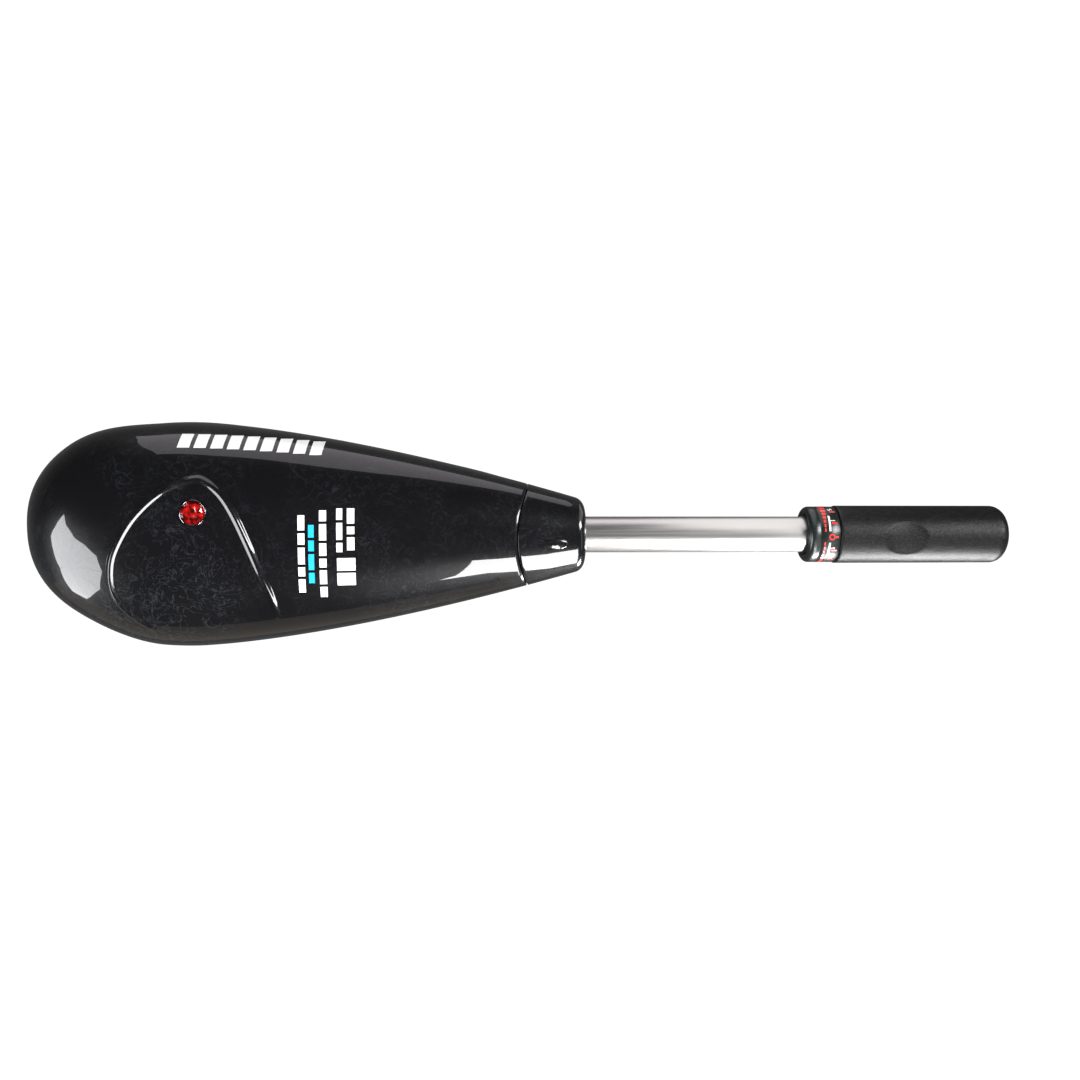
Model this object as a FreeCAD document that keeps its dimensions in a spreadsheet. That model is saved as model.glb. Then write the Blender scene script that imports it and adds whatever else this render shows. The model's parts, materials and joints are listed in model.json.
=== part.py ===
"""Transom-mount electric trolling motor, built as a parametric FreeCAD document.

Frame: the origin is the centre of the face that rests on top of the transom, +X points into the
boat (the way the tiller points), +Z is up and +Y is to the left. Lengths are millimetres.
"""
import FreeCAD, Part
import math
import os
import re

os.makedirs("parts", exist_ok=True)
doc = FreeCAD.newDocument("trolling_motor")

# ---------------------------------------------------------------- driving dimensions
DIMENSIONS = {
    # places of the main axes
    "shaft_x": -84, "tiller_z": 240, "pod_z": -468, "tilt_x": -60, "tilt_z": 14,
    # control head: a teardrop with its fullest section just ahead of the shaft
    "head_half_width": 67.4, "head_rise": 53, "head_drop": 36, "head_full_x": 5,
    "head_back_x": -93, "head_nose_x": 238.6, "nose_half_width": 21.5, "nose_rise": 21,
    "nose_drop": 20, "split_drop": 6, "head_wall": 2.8, "back_power": 2.23, "front_power": 1.48,
    "section_power": 2.3, "back_lean": 4.6, "lean_front_x": -12, "lean_back_x": -66,
    "seam_x": 196.5, "seam_radius": 68, "seam_gap": 0.5, "gasket_height": 1.6,
    "gasket_inset": 0.7,
    # oval pad on top of the nose
    "key_x": 219, "key_y": -3.2, "key_z": 23.3, "key_length": 16.6, "key_width": 7.4,
    "key_height": 1.3, "key_slope": 8.5,
    # cable gland under the head, leaning back so that a cable clears the lower unit
    "gland_x": -46, "gland_z": -38, "gland_lean": 25, "gland_radius": 7, "gland_bore": 4.2,
    "gland_flange_radius": 11, "gland_pad_radius": 12,
    # indicator lamp in the cover
    "lamp_x": 13, "lamp_y": 17, "lens_radius": 6.9, "lens_top": 47.6, "bezel_wall": 1.1,
    # fasteners of the head
    "boss_radius": 5.2, "screw_radius": 1.5, "screw_head_radius": 3,
    "rear_boss_x": -50, "rear_boss_y": 32, "front_boss_x": 112, "front_boss_y": 34,
    "nose_screw_x": 187, "nose_screw_y": 12,
    # tiller, dial and grip
    "tube_radius": 11.1, "tube_bore": 9.9, "tube_inner_x": 176, "tube_end_x": 462,
    "bush_radius": 14, "bush_start": 166, "bush_end": 237, "spigot_radius": 18, "spigot_start": 178,
    "dial_start": 376.5, "dial_end": 395.5, "dial_radius": 17.4, "grip_start": 395.9,
    "grip_end": 505, "grip_radius": 17.95, "grip_bore": 11.25, "grip_socket_x": 466,
    "rod_side": 6, "rod_start": 30, "rod_end": 494, "dimple_x": 437.7, "dimple_radius": 42,
    "dimple_depth": 1.6,
    # speed switch inside the head
    "switch_start": 24, "switch_length": 26, "switch_half": 17, "rotor_radius": 10,
    # shaft and its socket
    "shaft_radius": 13, "shaft_bore": 10, "shaft_top": -14, "shaft_foot": 34,
    "socket_radius": 16, "neck_radius": 22, "neck_foot": -62, "clamp_bolt_z": -51,
    "clamp_bolt_radius": 2.5,
    # lower unit
    "pod_radius": 38, "pod_bore": 34.5, "pod_start": -100, "pod_front": 30, "cone_length": 74,
    "cone_wall": 3.5, "pod_neck_radius": 18, "pod_neck_top": 66, "skeg_depth": 104,
    "bell_end": -128, "bell_hub_radius": 17, "magnet_inner": 27, "magnet_outer": 34.2,
    "magnet_start": -88, "magnet_length": 64, "core_radius": 25.5, "core_start": -84,
    "core_length": 52, "motor_shaft_radius": 5, "motor_shaft_start": -196,
    "motor_shaft_length": 238, "commutator_radius": 12, "commutator_start": -18,
    "commutator_length": 18, "bearing_radius": 11, "bearing_width": 8, "front_bearing_x": 30,
    "rear_bearing_x": -108,
    # propeller
    "hub_start": -184, "hub_length": 50, "hub_radius": 19, "blade_x": -160, "blade_tip": 115,
    "blade_chord": 62, "blade_thickness": 5, "nut_length": 16, "nut_radius": 10,
    # transom bracket
    "plate_half_width": 36, "plate_height": 8, "bracket_front": 50, "front_leg_thickness": 10,
    "front_leg_drop": 75, "bracket_back": -46, "rear_leg_thickness": 6, "rear_leg_drop": 110,
    "ear_inner": 26, "ear_thickness": 6, "ear_radius": 12.5, "lug_radius": 11,
    "tilt_pin_radius": 5, "clamp_y": 20, "clamp_z": -50, "clamp_screw_radius": 5,
    "clamp_pad_x": 5, "clamp_pad_radius": 14, "clamp_pad_thickness": 5, "clamp_handle_x": 72,
    "clamp_handle_half": 27,
    # swivel sleeve, depth collar and their knobs
    "sleeve_radius": 21, "sleeve_bore": 16.1, "sleeve_foot": -100, "sleeve_top": 40,
    "collar_radius": 24, "collar_height": 22, "knob_radius": 13, "knob_height": 15,
    "knob_stud_radius": 4, "stud_length": 25, "tension_z": -62,
    # running clearances
    "fit": 0.05, "gap": 0.4,
}

sheet = doc.addObject("Spreadsheet::Sheet", "Dims")
for row, (alias, value) in enumerate(DIMENSIONS.items(), start=1):
    sheet.set("A%d" % row, alias)
    sheet.set("B%d" % row, str(value))
    sheet.setAlias("B%d" % row, alias)
doc.recompute()


def size(alias):
    """The value that the sheet holds for a driving dimension."""
    return float(sheet.get(alias))


def linked(text):
    """An expression with every driving dimension's name turned into its cell."""
    def cell(match):
        word = match.group()
        return "Dims." + word if word in DIMENSIONS else word
    return re.sub(r"[a-z][a-z_]*", cell, str(text))


# ---------------------------------------------------------------- building blocks
TURNS = {
    "x": FreeCAD.Rotation(FreeCAD.Vector(0, 1, 0), 90),
    "y": FreeCAD.Rotation(FreeCAD.Vector(1, 0, 0), -90),
    "z": FreeCAD.Rotation(),
}
HEAD = ("shaft_x + ", "", "tiller_z + ")
POD = ("shaft_x + ", "", "pod_z + ")
BRACKET = ("", "", "")
pieces = {}


def placed(item, place, origin, turn=None):
    """Binds an object's position to the sheet; place is measured from the named origin."""
    if turn is not None:
        item.Placement = FreeCAD.Placement(FreeCAD.Vector(), turn)
    for letter, start, value in zip("xyz", origin, place):
        item.setExpression("Placement.Base." + letter, linked("%s(%s)" % (start, value)))
    return item


def block(origin, low, high):
    """A box between two opposite corners."""
    item = doc.addObject("Part::Box", "Block")
    for side, start, end in zip(("Length", "Width", "Height"), low, high):
        item.setExpression(side, linked("(%s) - (%s)" % (end, start)))
    return placed(item, low, origin)


def rod(origin, axis, start, radius, length):
    """A cylinder that runs from its start point along +axis."""
    item = doc.addObject("Part::Cylinder", "Rod")
    item.setExpression("Radius", linked(radius))
    item.setExpression("Height", linked(length))
    return placed(item, start, origin, TURNS[axis])


def taper(origin, axis, start, first_radius, last_radius, length):
    """A cone frustum that runs from its start point along +axis."""
    item = doc.addObject("Part::Cone", "Taper")
    item.setExpression("Radius1", linked(first_radius))
    item.setExpression("Radius2", linked(last_radius))
    item.setExpression("Height", linked(length))
    return placed(item, start, origin, TURNS[axis])


def ball(origin, centre, radius):
    item = doc.addObject("Part::Sphere", "Ball")
    item.setExpression("Radius", linked(radius))
    return placed(item, centre, origin)


def hoop(origin, axis, centre, radius, section_radius):
    """A round ring of round section."""
    item = doc.addObject("Part::Torus", "Hoop")
    item.setExpression("Radius1", linked(radius))
    item.setExpression("Radius2", linked(section_radius))
    return placed(item, centre, origin, TURNS[axis])


def prism(origin, axis, start, corner_radius, length, sides=6):
    """A regular bar, such as a nut, that runs from its start point along +axis."""
    item = doc.addObject("Part::Prism", "Bar")
    item.Polygon = sides
    item.setExpression("Circumradius", linked(corner_radius))
    item.setExpression("Height", linked(length))
    return placed(item, start, origin, TURNS[axis])


def fuse(*items):
    item = doc.addObject("Part::MultiFuse", "Fuse")
    item.Shapes = list(items)
    return item


def cut(base, *tools):
    item = doc.addObject("Part::Cut", "Cut")
    item.Base = base
    item.Tool = tools[0] if len(tools) == 1 else fuse(*tools)
    return item


def common(*items):
    item = doc.addObject("Part::MultiCommon", "Common")
    item.Shapes = list(items)
    return item


def group(*items):
    """Several separate solids that make one piece of the list, such as a set of screws."""
    item = doc.addObject("Part::Compound", "Group")
    item.Links = list(items)
    return item


def sleeve(origin, axis, start, radius, bore, length):
    """A plain round tube along +axis."""
    past = {"x": 0, "y": 1, "z": 2}[axis]
    inner_start = list(start)
    inner_start[past] = "%s - 1" % inner_start[past]
    outer = rod(origin, axis, start, radius, length)
    inner = rod(origin, axis, inner_start, bore, "%s + 2" % length)
    return cut(outer, inner)


def freeform(shape):
    item = doc.addObject("Part::Feature", "Form")
    item.Shape = shape
    return item


def piece(label, item):
    """Names a finished sub-part."""
    item.Label = label
    pieces[label] = item
    return item


# ---------------------------------------------------------------- the head's teardrop form
def section_sizes(x, inset):
    """Half width, rise and drop of the head at x, and the height of its widest line."""
    power = size("back_power")
    full_x = size("head_full_x")
    length = size("head_nose_x") - full_x
    if x <= full_x:
        reach = (full_x - x) / (full_x - size("head_back_x") - inset)
        shrink = (1 - min(reach, 1) ** power) ** (1 / power)
        sizes = [size(n) - inset for n in ("head_half_width", "head_rise", "head_drop")]
        return [value * shrink for value in sizes] + [-size("split_drop")]
    along = (x - full_x) / length
    fall = along ** size("front_power")
    middle = -size("split_drop") * (1 - along ** 2)
    width = size("head_half_width") + (size("nose_half_width") - size("head_half_width")) * fall
    rise = size("head_rise") + (size("nose_rise") - size("head_rise")) * fall
    drop = size("head_drop") + (size("nose_drop") - size("head_drop")) * fall
    return [width - inset, rise - inset, drop - inset, middle]


def lean(x):
    """How far the rounded back end leans to the left of the shaft's line."""
    along = (size("lean_front_x") - x) / (size("lean_front_x") - size("lean_back_x"))
    along = min(max(along, 0), 1)
    return size("back_lean") * along ** 2 * (3 - 2 * along)


def section_wire(x, inset, first_turn):
    """A closed, slightly squared oval across the head, starting at first_turn (-1 bottom, 1 top)."""
    width, rise, drop, middle = section_sizes(x, inset)
    power = 2 / size("section_power")
    points = []
    count = 28
    for step in range(count):
        angle = 2 * math.pi * step / count + first_turn * math.pi / 2
        across = math.copysign(abs(math.cos(angle)) ** power, math.cos(angle))
        up = math.copysign(abs(math.sin(angle)) ** power, math.sin(angle))
        height = rise if up > 0 else drop
        points.append(FreeCAD.Vector(x, lean(x) + width * across, middle + height * up))
    curve = Part.BSplineCurve()
    curve.interpolate(Points=points, PeriodicFlag=True)
    return Part.Wire([curve.toShape()])


def teardrop(inset, first_turn=-1):
    """The head's solid, or a smaller one inside it by the inset."""
    full_x = size("head_full_x")
    back = full_x - size("head_back_x") - inset
    front = size("head_nose_x") - full_x
    stations = [full_x - back * part for part in (0.998, 0.97, 0.9, 0.78, 0.6, 0.4, 0.2, 0)]
    stations += [full_x + front * part for part in (0.12, 0.28, 0.45, 0.62, 0.8, 1)]
    wires = [section_wire(x, inset, first_turn) for x in stations]
    item = freeform(Part.makeLoft(wires, True, False))
    item.Placement = FreeCAD.Placement(
        FreeCAD.Vector(size("shaft_x"), 0, size("tiller_z")), FreeCAD.Rotation())
    return item


def seam_barrel(gap):
    """The upright barrel whose back is the curved seam between the head and its nose."""
    centre = ("seam_x + seam_radius", "0", "-80")
    return rod(HEAD, "z", centre, "seam_radius + (%s)" % gap, "160")


def head_half(low, high, inset, first_turn):
    """The part of the head shell between two heights, up to the seam."""
    corner = ("head_back_x - 5", "-90", low)
    far = ("head_nose_x + 5", "90", high)
    outer = teardrop(inset, first_turn)
    hollow = teardrop(size("head_wall"), first_turn)
    return cut(common(outer, block(HEAD, corner, far)), hollow, seam_barrel("seam_gap / 2"))


BOSSES = [("rear_boss_x", "rear_boss_y"), ("rear_boss_x", "-rear_boss_y"),
          ("front_boss_x", "front_boss_y"), ("front_boss_x", "-front_boss_y")]


def bosses_between(low, high, first_turn):
    """The screw bosses of one half, rooted half way into the head's wall."""
    posts = [rod(HEAD, "z", (x, y, low), "boss_radius", "(%s) - (%s)" % (high, low))
             for x, y in BOSSES]
    return common(fuse(*posts), teardrop(size("head_wall") / 2, first_turn))


def screw_holes():
    holes = []
    for x, y in BOSSES:
        holes.append(rod(HEAD, "z", (x, y, "-60"), "screw_head_radius + 0.4", "36"))
        holes.append(rod(HEAD, "z", (x, y, "-30"), "screw_radius + 0.1", "42"))
    return holes


def head_cover():
    shell = head_half("gasket_height / 2 - split_drop", "80", 0, -1)
    posts = bosses_between("gasket_height / 2 - split_drop", "60", -1)
    board_posts = [rod(HEAD, "z", ("lamp_x + %s" % dx, "lamp_y", "35.2"), "2.5", "9")
                   for dx in ("13", "-13")]
    lamp_hole = rod(HEAD, "z", ("lamp_x", "lamp_y", "30"), "lens_radius + bezel_wall + 0.15", "30")
    piece("head_cover", cut(fuse(shell, posts, *board_posts), lamp_hole, *screw_holes()))


def leaned(item):
    """Tips one of the cable gland's pieces back, about the middle of its hole in the base."""
    centre = FreeCAD.Vector(size("shaft_x") + size("gland_x"), 0,
                            size("tiller_z") + size("gland_z"))
    turn = FreeCAD.Rotation(FreeCAD.Vector(0, 1, 0), size("gland_lean"))
    item.Placement = FreeCAD.Placement(FreeCAD.Vector(), turn, centre)
    return item


def head_base():
    shell = head_half("-80", "-gasket_height / 2 - split_drop", 0, 1)
    posts = bosses_between("-60", "-gasket_height / 2 - split_drop", 1)
    neck = rod(HEAD, "z", ("0", "0", "neck_foot"), "neck_radius", "26")
    gland_pad = rod(HEAD, "z", ("gland_x", "0", "gland_z - 3"), "gland_pad_radius", "13")
    shaft_hole = rod(HEAD, "z", ("0", "0", "-80"), "socket_radius + fit", "60")
    gland_hole = rod(HEAD, "z", ("gland_x", "0", "gland_z - 22"), "gland_radius + 0.1", "50")
    nose_holes = [rod(HEAD, "z", ("nose_screw_x", y, "-50"), "screw_radius + 0.1", "60")
                  for y in ("nose_screw_y", "-nose_screw_y")]
    nose_holes += [rod(HEAD, "z", ("nose_screw_x", y, "-50"), "screw_head_radius + 0.2", "24")
                   for y in ("nose_screw_y", "-nose_screw_y")]
    cross_hole = rod(HEAD, "y", ("0", "-40", "clamp_bolt_z"), "clamp_bolt_radius + 0.1", "80")
    base = fuse(shell, posts, neck, leaned(group(gland_pad)))
    tools = [shaft_hole, leaned(group(gland_hole)), cross_hole] + nose_holes + screw_holes()
    piece("head_base", cut(base, *tools))


def cover_gasket():
    low = "0.05 - gasket_height / 2 - split_drop"
    high = "gasket_height / 2 - split_drop - 0.05"
    ring = head_half(low, high, size("gasket_inset"), -1)
    passages = [rod(HEAD, "z", (x, y, "-20"), "boss_radius + 0.3", "30") for x, y in BOSSES]
    piece("cover_gasket", cut(ring, *passages))


def key_pad():
    """The low oval pad on top of the nose, sloping with the surface that it stands on."""
    item = doc.addObject("Part::Ellipsoid", "Key")
    item.setExpression("Radius1", linked("key_height"))
    item.setExpression("Radius2", linked("key_length / 2"))
    item.setExpression("Radius3", linked("key_width / 2"))
    turn = FreeCAD.Rotation(FreeCAD.Vector(0, 1, 0), size("key_slope"))
    return placed(item, ("key_x", "key_y", "key_z"), HEAD, turn)


def nose_collar():
    """The separate end cap of the head, with the spigot that plugs into the shell."""
    cap = common(teardrop(0), seam_barrel("-seam_gap / 2"))
    spigot = rod(HEAD, "x", ("spigot_start", "0", "0"), "spigot_radius", "30")
    bore = rod(HEAD, "x", ("spigot_start - 5", "0", "0"), "bush_radius + fit", "80")
    holes = [rod(HEAD, "z", ("nose_screw_x", y, "-30"), "screw_radius + 0.1", "22")
             for y in ("nose_screw_y", "-nose_screw_y")]
    piece("nose_collar", cut(fuse(cap, spigot, key_pad()), bore, *holes))


def head_screws():
    screws = []
    for x, y in BOSSES:
        head = rod(HEAD, "z", (x, y, "-27.5"), "screw_head_radius", "3")
        shank = rod(HEAD, "z", (x, y, "-25"), "screw_radius", "34")
        screws.append(fuse(head, shank))
    piece("cover_screws", group(*screws))
    screws = []
    for y in ("nose_screw_y", "-nose_screw_y"):
        head = rod(HEAD, "z", ("nose_screw_x", y, "-30"), "screw_head_radius", "4")
        shank = rod(HEAD, "z", ("nose_screw_x", y, "-27"), "screw_radius", "15")
        screws.append(fuse(head, shank))
    return screws


def indicator():
    """Warning lamp: a domed lens in a thin metal ring over a small circuit board."""
    lens = fuse(rod(HEAD, "z", ("lamp_x", "lamp_y", "39"), "lens_radius", "lens_top - 41"),
                taper(HEAD, "z", ("lamp_x", "lamp_y", "lens_top - 2"), "lens_radius",
                      "lens_radius - 3", "2"))
    piece("indicator_lens", lens)
    ring = fuse(
        sleeve(HEAD, "z", ("lamp_x", "lamp_y", "41"), "lens_radius + bezel_wall",
               "lens_radius + fit", "lens_top - 41.2"),
        sleeve(HEAD, "z", ("lamp_x", "lamp_y", "39"), "lens_radius + bezel_wall",
               "lens_radius + fit", "2.5"))
    piece("indicator_bezel", ring)
    board = block(HEAD, ("lamp_x - 18", "lamp_y - 11", "33.4"), ("lamp_x + 18", "lamp_y + 11", "35"))
    lamp = rod(HEAD, "z", ("lamp_x", "lamp_y", "34"), "2.5", "4.6")
    chip = block(HEAD, ("lamp_x - 15", "lamp_y - 7", "31"), ("lamp_x - 6", "lamp_y + 2", "34"))
    piece("indicator_board", fuse(board, lamp, chip))


# ---------------------------------------------------------------- speed switch
def speed_switch():
    low = ("switch_start", "-switch_half", "-switch_half")
    high = ("switch_start + switch_length", "switch_half", "switch_half")
    foot = block(HEAD, ("switch_start", "-12", "-35"), ("switch_start + switch_length", "12", "-12"))
    bore = rod(HEAD, "x", ("switch_start - 5", "0", "0"), "rotor_radius + fit", "60")
    piece("switch_body", cut(fuse(block(HEAD, low, high), foot), bore))
    spindle = rod(HEAD, "x", ("switch_start - 2", "0", "0"), "rotor_radius", "switch_length + 4")
    half = "rod_side / 2 + 0.15"
    socket = block(HEAD, ("switch_start - 6", "-(%s)" % half, "-(%s)" % half),
                   ("switch_start + 40", half, half))
    piece("switch_rotor", cut(spindle, socket))
    tabs = [block(HEAD, ("switch_start - 8", "%s - 2.5" % y, "-13"),
                  ("switch_start - 0.05", "%s + 2.5" % y, "-12"))
            for y in ("-11", "0", "11")]
    piece("switch_terminals", group(*tabs))


def bent_lead(x_offset, y, end_x, radius):
    """One insulated lead: up the shaft, round a quarter turn, then forward to the switch."""
    origin = FreeCAD.Vector(size("shaft_x"), 0, size("tiller_z"))
    bend = 6
    run_z = -10.2
    foot = origin + FreeCAD.Vector(x_offset, y, size("pod_z") - size("tiller_z") + 36)
    start = origin + FreeCAD.Vector(x_offset, y, run_z - bend)
    slant = bend * (1 - math.sqrt(0.5))
    middle = origin + FreeCAD.Vector(x_offset + slant, y, run_z - slant)
    turned = origin + FreeCAD.Vector(x_offset + bend, y, run_z)
    end = origin + FreeCAD.Vector(end_x, y, run_z)
    path = Part.Wire([Part.LineSegment(foot, start).toShape(),
                      Part.Arc(start, middle, turned).toShape(),
                      Part.LineSegment(turned, end).toShape()])
    profile = Part.Wire([Part.Circle(foot, FreeCAD.Vector(0, 0, 1), radius).toShape()])
    return path.makePipeShell([profile], True, False)


def motor_leads():
    end_x = size("switch_start") - 8.3
    leads = [freeform(bent_lead(-4.5, y, end_x, 1.4)) for y in (-3.5, 3.5)]
    piece("motor_leads", group(*leads))


# ---------------------------------------------------------------- tiller
def tiller():
    length = "tube_end_x - tube_inner_x"
    piece("tiller_tube", sleeve(HEAD, "x", ("tube_inner_x", "0", "0"), "tube_radius",
                                "tube_bore", length))
    piece("tiller_bush", sleeve(HEAD, "x", ("bush_start", "0", "0"), "bush_radius",
                                "tube_radius + fit", "bush_end - bush_start"))
    guides = [sleeve(HEAD, "x", (x, "0", "0"), "tube_bore - 0.05", "4.5", "10")
              for x in ("tube_inner_x + 1", "tube_end_x - 12")]
    piece("rod_guides", group(*guides))
    face = taper(HEAD, "x", ("dial_start", "0", "0"), "dial_radius - 2.6", "dial_radius", "6")
    barrel = rod(HEAD, "x", ("dial_start + 6", "0", "0"), "dial_radius",
                 "dial_end - dial_start - 6")
    bore = rod(HEAD, "x", ("dial_start - 2", "0", "0"), "tube_radius + 0.02", "40")
    piece("dial_collar", cut(fuse(face, barrel), bore))


def twist_grip():
    """Hand grip that turns on the tube's end, with a shallow dish for the thumb."""
    body = rod(HEAD, "x", ("grip_start", "0", "0"), "grip_radius", "grip_end - grip_start - 5")
    end = taper(HEAD, "x", ("grip_end - 5", "0", "0"), "grip_radius", "grip_radius - 5", "5")
    bore = rod(HEAD, "x", ("grip_start - 2", "0", "0"), "grip_bore", "grip_socket_x - grip_start + 2")
    half = "rod_side / 2 + 0.03"
    socket = block(HEAD, ("grip_socket_x - 1", "-(%s)" % half, "-(%s)" % half),
                   ("rod_end + 0.2", half, half))
    dish = ball(HEAD, ("dimple_x", "0", "grip_radius + dimple_radius - dimple_depth"),
                "dimple_radius")
    screw_hole = rod(HEAD, "z", ("grip_socket_x + 14", "0", "-25"), "2.55", "22.5")
    piece("twist_grip", cut(fuse(body, end), bore, socket, dish, screw_hole))
    half = "rod_side / 2"
    piece("drive_rod", block(HEAD, ("rod_start", "-" + half, "-" + half), ("rod_end", half, half)))
    piece("grip_screw", rod(HEAD, "z", ("grip_socket_x + 14", "0", "-16.5"), "2.5", "13.4"))


# ---------------------------------------------------------------- shaft
def shaft_group():
    length = "tiller_z + shaft_top - pod_z - shaft_foot"
    tube = sleeve(POD, "z", ("0", "0", "shaft_foot"), "shaft_radius", "shaft_bore", length)
    cross = rod(HEAD, "y", ("0", "-20", "clamp_bolt_z"), "clamp_bolt_radius + 0.1", "40")
    piece("shaft_tube", cut(tube, cross))
    barrel = sleeve(HEAD, "z", ("0", "0", "neck_foot"), "socket_radius", "shaft_radius + 0.02",
                    "46")
    cross = rod(HEAD, "y", ("0", "-30", "clamp_bolt_z"), "clamp_bolt_radius + 0.1", "60")
    piece("shaft_socket", cut(barrel, cross))
    bolt = fuse(prism(HEAD, "y", ("0", "-27", "clamp_bolt_z"), "4.6", "4"),
                rod(HEAD, "y", ("0", "-24", "clamp_bolt_z"), "clamp_bolt_radius", "50"))
    piece("clamp_bolt", bolt)
    nut = cut(prism(HEAD, "y", ("0", "22.1", "clamp_bolt_z"), "4.6", "3.8"),
              rod(HEAD, "y", ("0", "20", "clamp_bolt_z"), "clamp_bolt_radius + 0.02", "8"))
    piece("clamp_bolt_nut", nut)


def cable_gland():
    stem = sleeve(HEAD, "z", ("gland_x", "0", "gland_z - 16"), "gland_radius", "gland_bore", "36")
    flange = sleeve(HEAD, "z", ("gland_x", "0", "gland_z - 8"), "gland_flange_radius",
                    "gland_bore", "4.95")
    piece("cable_gland", leaned(fuse(stem, flange)))
    nut = cut(prism(HEAD, "z", ("gland_x", "0", "gland_z + 10.1"), "10.4", "5"),
              rod(HEAD, "z", ("gland_x", "0", "gland_z + 8"), "gland_radius + 0.05", "10"))
    piece("gland_nut", leaned(nut))


# ---------------------------------------------------------------- lower unit
RING_PLACES = ("pod_start + 0.9", "pod_front - 0.9")


def motor_housing():
    """The pod's barrel with its neck for the shaft and the skeg below."""
    barrel = rod(POD, "x", ("pod_start", "0", "0"), "pod_radius", "pod_front - pod_start")
    neck = taper(POD, "z", ("0", "0", "20"), "pod_neck_radius + 6", "pod_neck_radius - 1",
                 "pod_neck_top - 20")
    fin_root = ("pod_start + 22", "-2.5", "-skeg_depth")
    fin = block(POD, fin_root, ("pod_front - 24", "2.5", "-30"))
    slope = prism(POD, "y", ("pod_front - 24", "-10", "-skeg_depth"), "46", "20", sides=4)
    hollow = rod(POD, "x", ("pod_start - 5", "0", "0"), "pod_bore", "200")
    shaft_hole = rod(POD, "z", ("0", "0", "0"), "shaft_radius + 0.02", "100")
    grooves = [hoop(POD, "x", (x, "0", "0"), "36.2", "0.93") for x in RING_PLACES]
    body = fuse(barrel, neck, cut(fin, slope))
    piece("motor_housing", cut(body, hollow, shaft_hole, *grooves))


def nose_cone():
    """Front cap of the pod: half an ellipsoid with a pocket for the front bearing."""
    item = doc.addObject("Part::Ellipsoid", "Dome")
    item.setExpression("Radius1", linked("cone_length"))
    item.setExpression("Radius2", linked("pod_radius"))
    item.setExpression("Radius3", linked("pod_radius"))
    placed(item, ("pod_front", "0", "0"), POD, TURNS["x"])
    inner = doc.addObject("Part::Ellipsoid", "Dome")
    inner.setExpression("Radius1", linked("cone_length - cone_wall"))
    inner.setExpression("Radius2", linked("pod_radius - cone_wall"))
    inner.setExpression("Radius3", linked("pod_radius - cone_wall"))
    placed(inner, ("pod_front", "0", "0"), POD, TURNS["x"])
    ahead = block(POD, ("pod_front + 0.1", "-50", "-50"), ("pod_front + 90", "50", "50"))
    web = rod(POD, "x", ("pod_front + 8", "0", "0"), "pod_radius - 3", "8")
    seat = rod(POD, "x", ("pod_front + 4", "0", "0"), "bearing_radius + 4", "12")
    pocket = rod(POD, "x", ("pod_front - 2", "0", "0"), "bearing_radius + 0.02", "14.5")
    shell = cut(common(item, ahead), inner)
    solid = common(fuse(shell, web, seat), ahead, item)
    piece("nose_cone", cut(solid, pocket))


def rear_bell():
    """Rear cap of the pod, tapering to the propeller's hub."""
    wide = taper(POD, "x", ("bell_end", "0", "0"), "bell_hub_radius + 4", "pod_radius",
                 "pod_start - bell_end - 0.1")
    hollow = taper(POD, "x", ("bell_end + 12", "0", "0"), "bell_hub_radius", "pod_radius - 4", "20")
    pocket = rod(POD, "x", ("rear_bearing_x - 0.1", "0", "0"), "bearing_radius + 0.02", "30")
    seat = rod(POD, "x", ("bell_end", "0", "0"), "bearing_radius + 5",
               "rear_bearing_x + bearing_width - bell_end")
    through = rod(POD, "x", ("bell_end - 5", "0", "0"), "motor_shaft_radius + 0.3", "60")
    seal_pocket = rod(POD, "x", ("bell_end - 1", "0", "0"), "9.05", "7")
    piece("rear_end_bell", cut(fuse(cut(wide, hollow), seat), pocket, through, seal_pocket))


def pod_seals_and_bolts():
    rings = [hoop(POD, "x", (x, "0", "0"), "36.2", "0.9") for x in RING_PLACES]
    piece("pod_o_rings", group(*rings))
    piece("shaft_seal", sleeve(POD, "x", ("bell_end", "0", "0"), "9", "motor_shaft_radius + fit", "5.8"))
    bolts = []
    for side in ("1", "-1"):
        place = ("pod_start + 1", "0", "%s * 31.2" % side)
        bolts.append(rod(POD, "x", place, "1.8", "pod_front - pod_start - 2"))
    return bolts


def field_magnets():
    """Two curved magnets on the inside of the pod's barrel, with a gap above and below."""
    ring = sleeve(POD, "x", ("magnet_start", "0", "0"), "magnet_outer", "magnet_inner",
                  "magnet_length")
    gap = block(POD, ("magnet_start - 1", "-9", "-40"), ("magnet_start + magnet_length + 1", "9", "40"))
    piece("field_magnets", cut(ring, gap))


def bearings():
    rings = [sleeve(POD, "x", (x, "0", "0"), "bearing_radius", "motor_shaft_radius + fit",
                    "bearing_width")
             for x in ("front_bearing_x + 4", "rear_bearing_x")]
    piece("pod_bearings", group(*rings))


def brush_gear():
    """Insulating ring with two spring-loaded carbon brushes on the commutator."""
    ring = sleeve(POD, "x", ("commutator_start + 3", "0", "0"), "34", "27", "12")
    windows = [block(POD, ("commutator_start + 5", "-4.1", "commutator_radius"),
                     ("commutator_start + 13", "4.1", "40")),
               block(POD, ("commutator_start + 5", "-4.1", "-40"),
                     ("commutator_start + 13", "4.1", "-commutator_radius"))]
    clear = rod(POD, "z", ("0", "0", "0"), "shaft_radius + 1", "60")
    bolt_ways = [rod(POD, "x", ("commutator_start", "0", z), "2.2", "20") for z in ("31.2", "-31.2")]
    piece("brush_holder", cut(ring, clear, *windows, *bolt_ways))
    top = block(POD, ("commutator_start + 5.2", "-4", "commutator_radius + 0.1"),
                ("commutator_start + 12.8", "4", "28"))
    bottom = block(POD, ("commutator_start + 5.2", "-4", "-28"),
                   ("commutator_start + 12.8", "4", "-commutator_radius - 0.1"))
    piece("brushes", group(top, bottom))


SLOT_COUNT = 12


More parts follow.
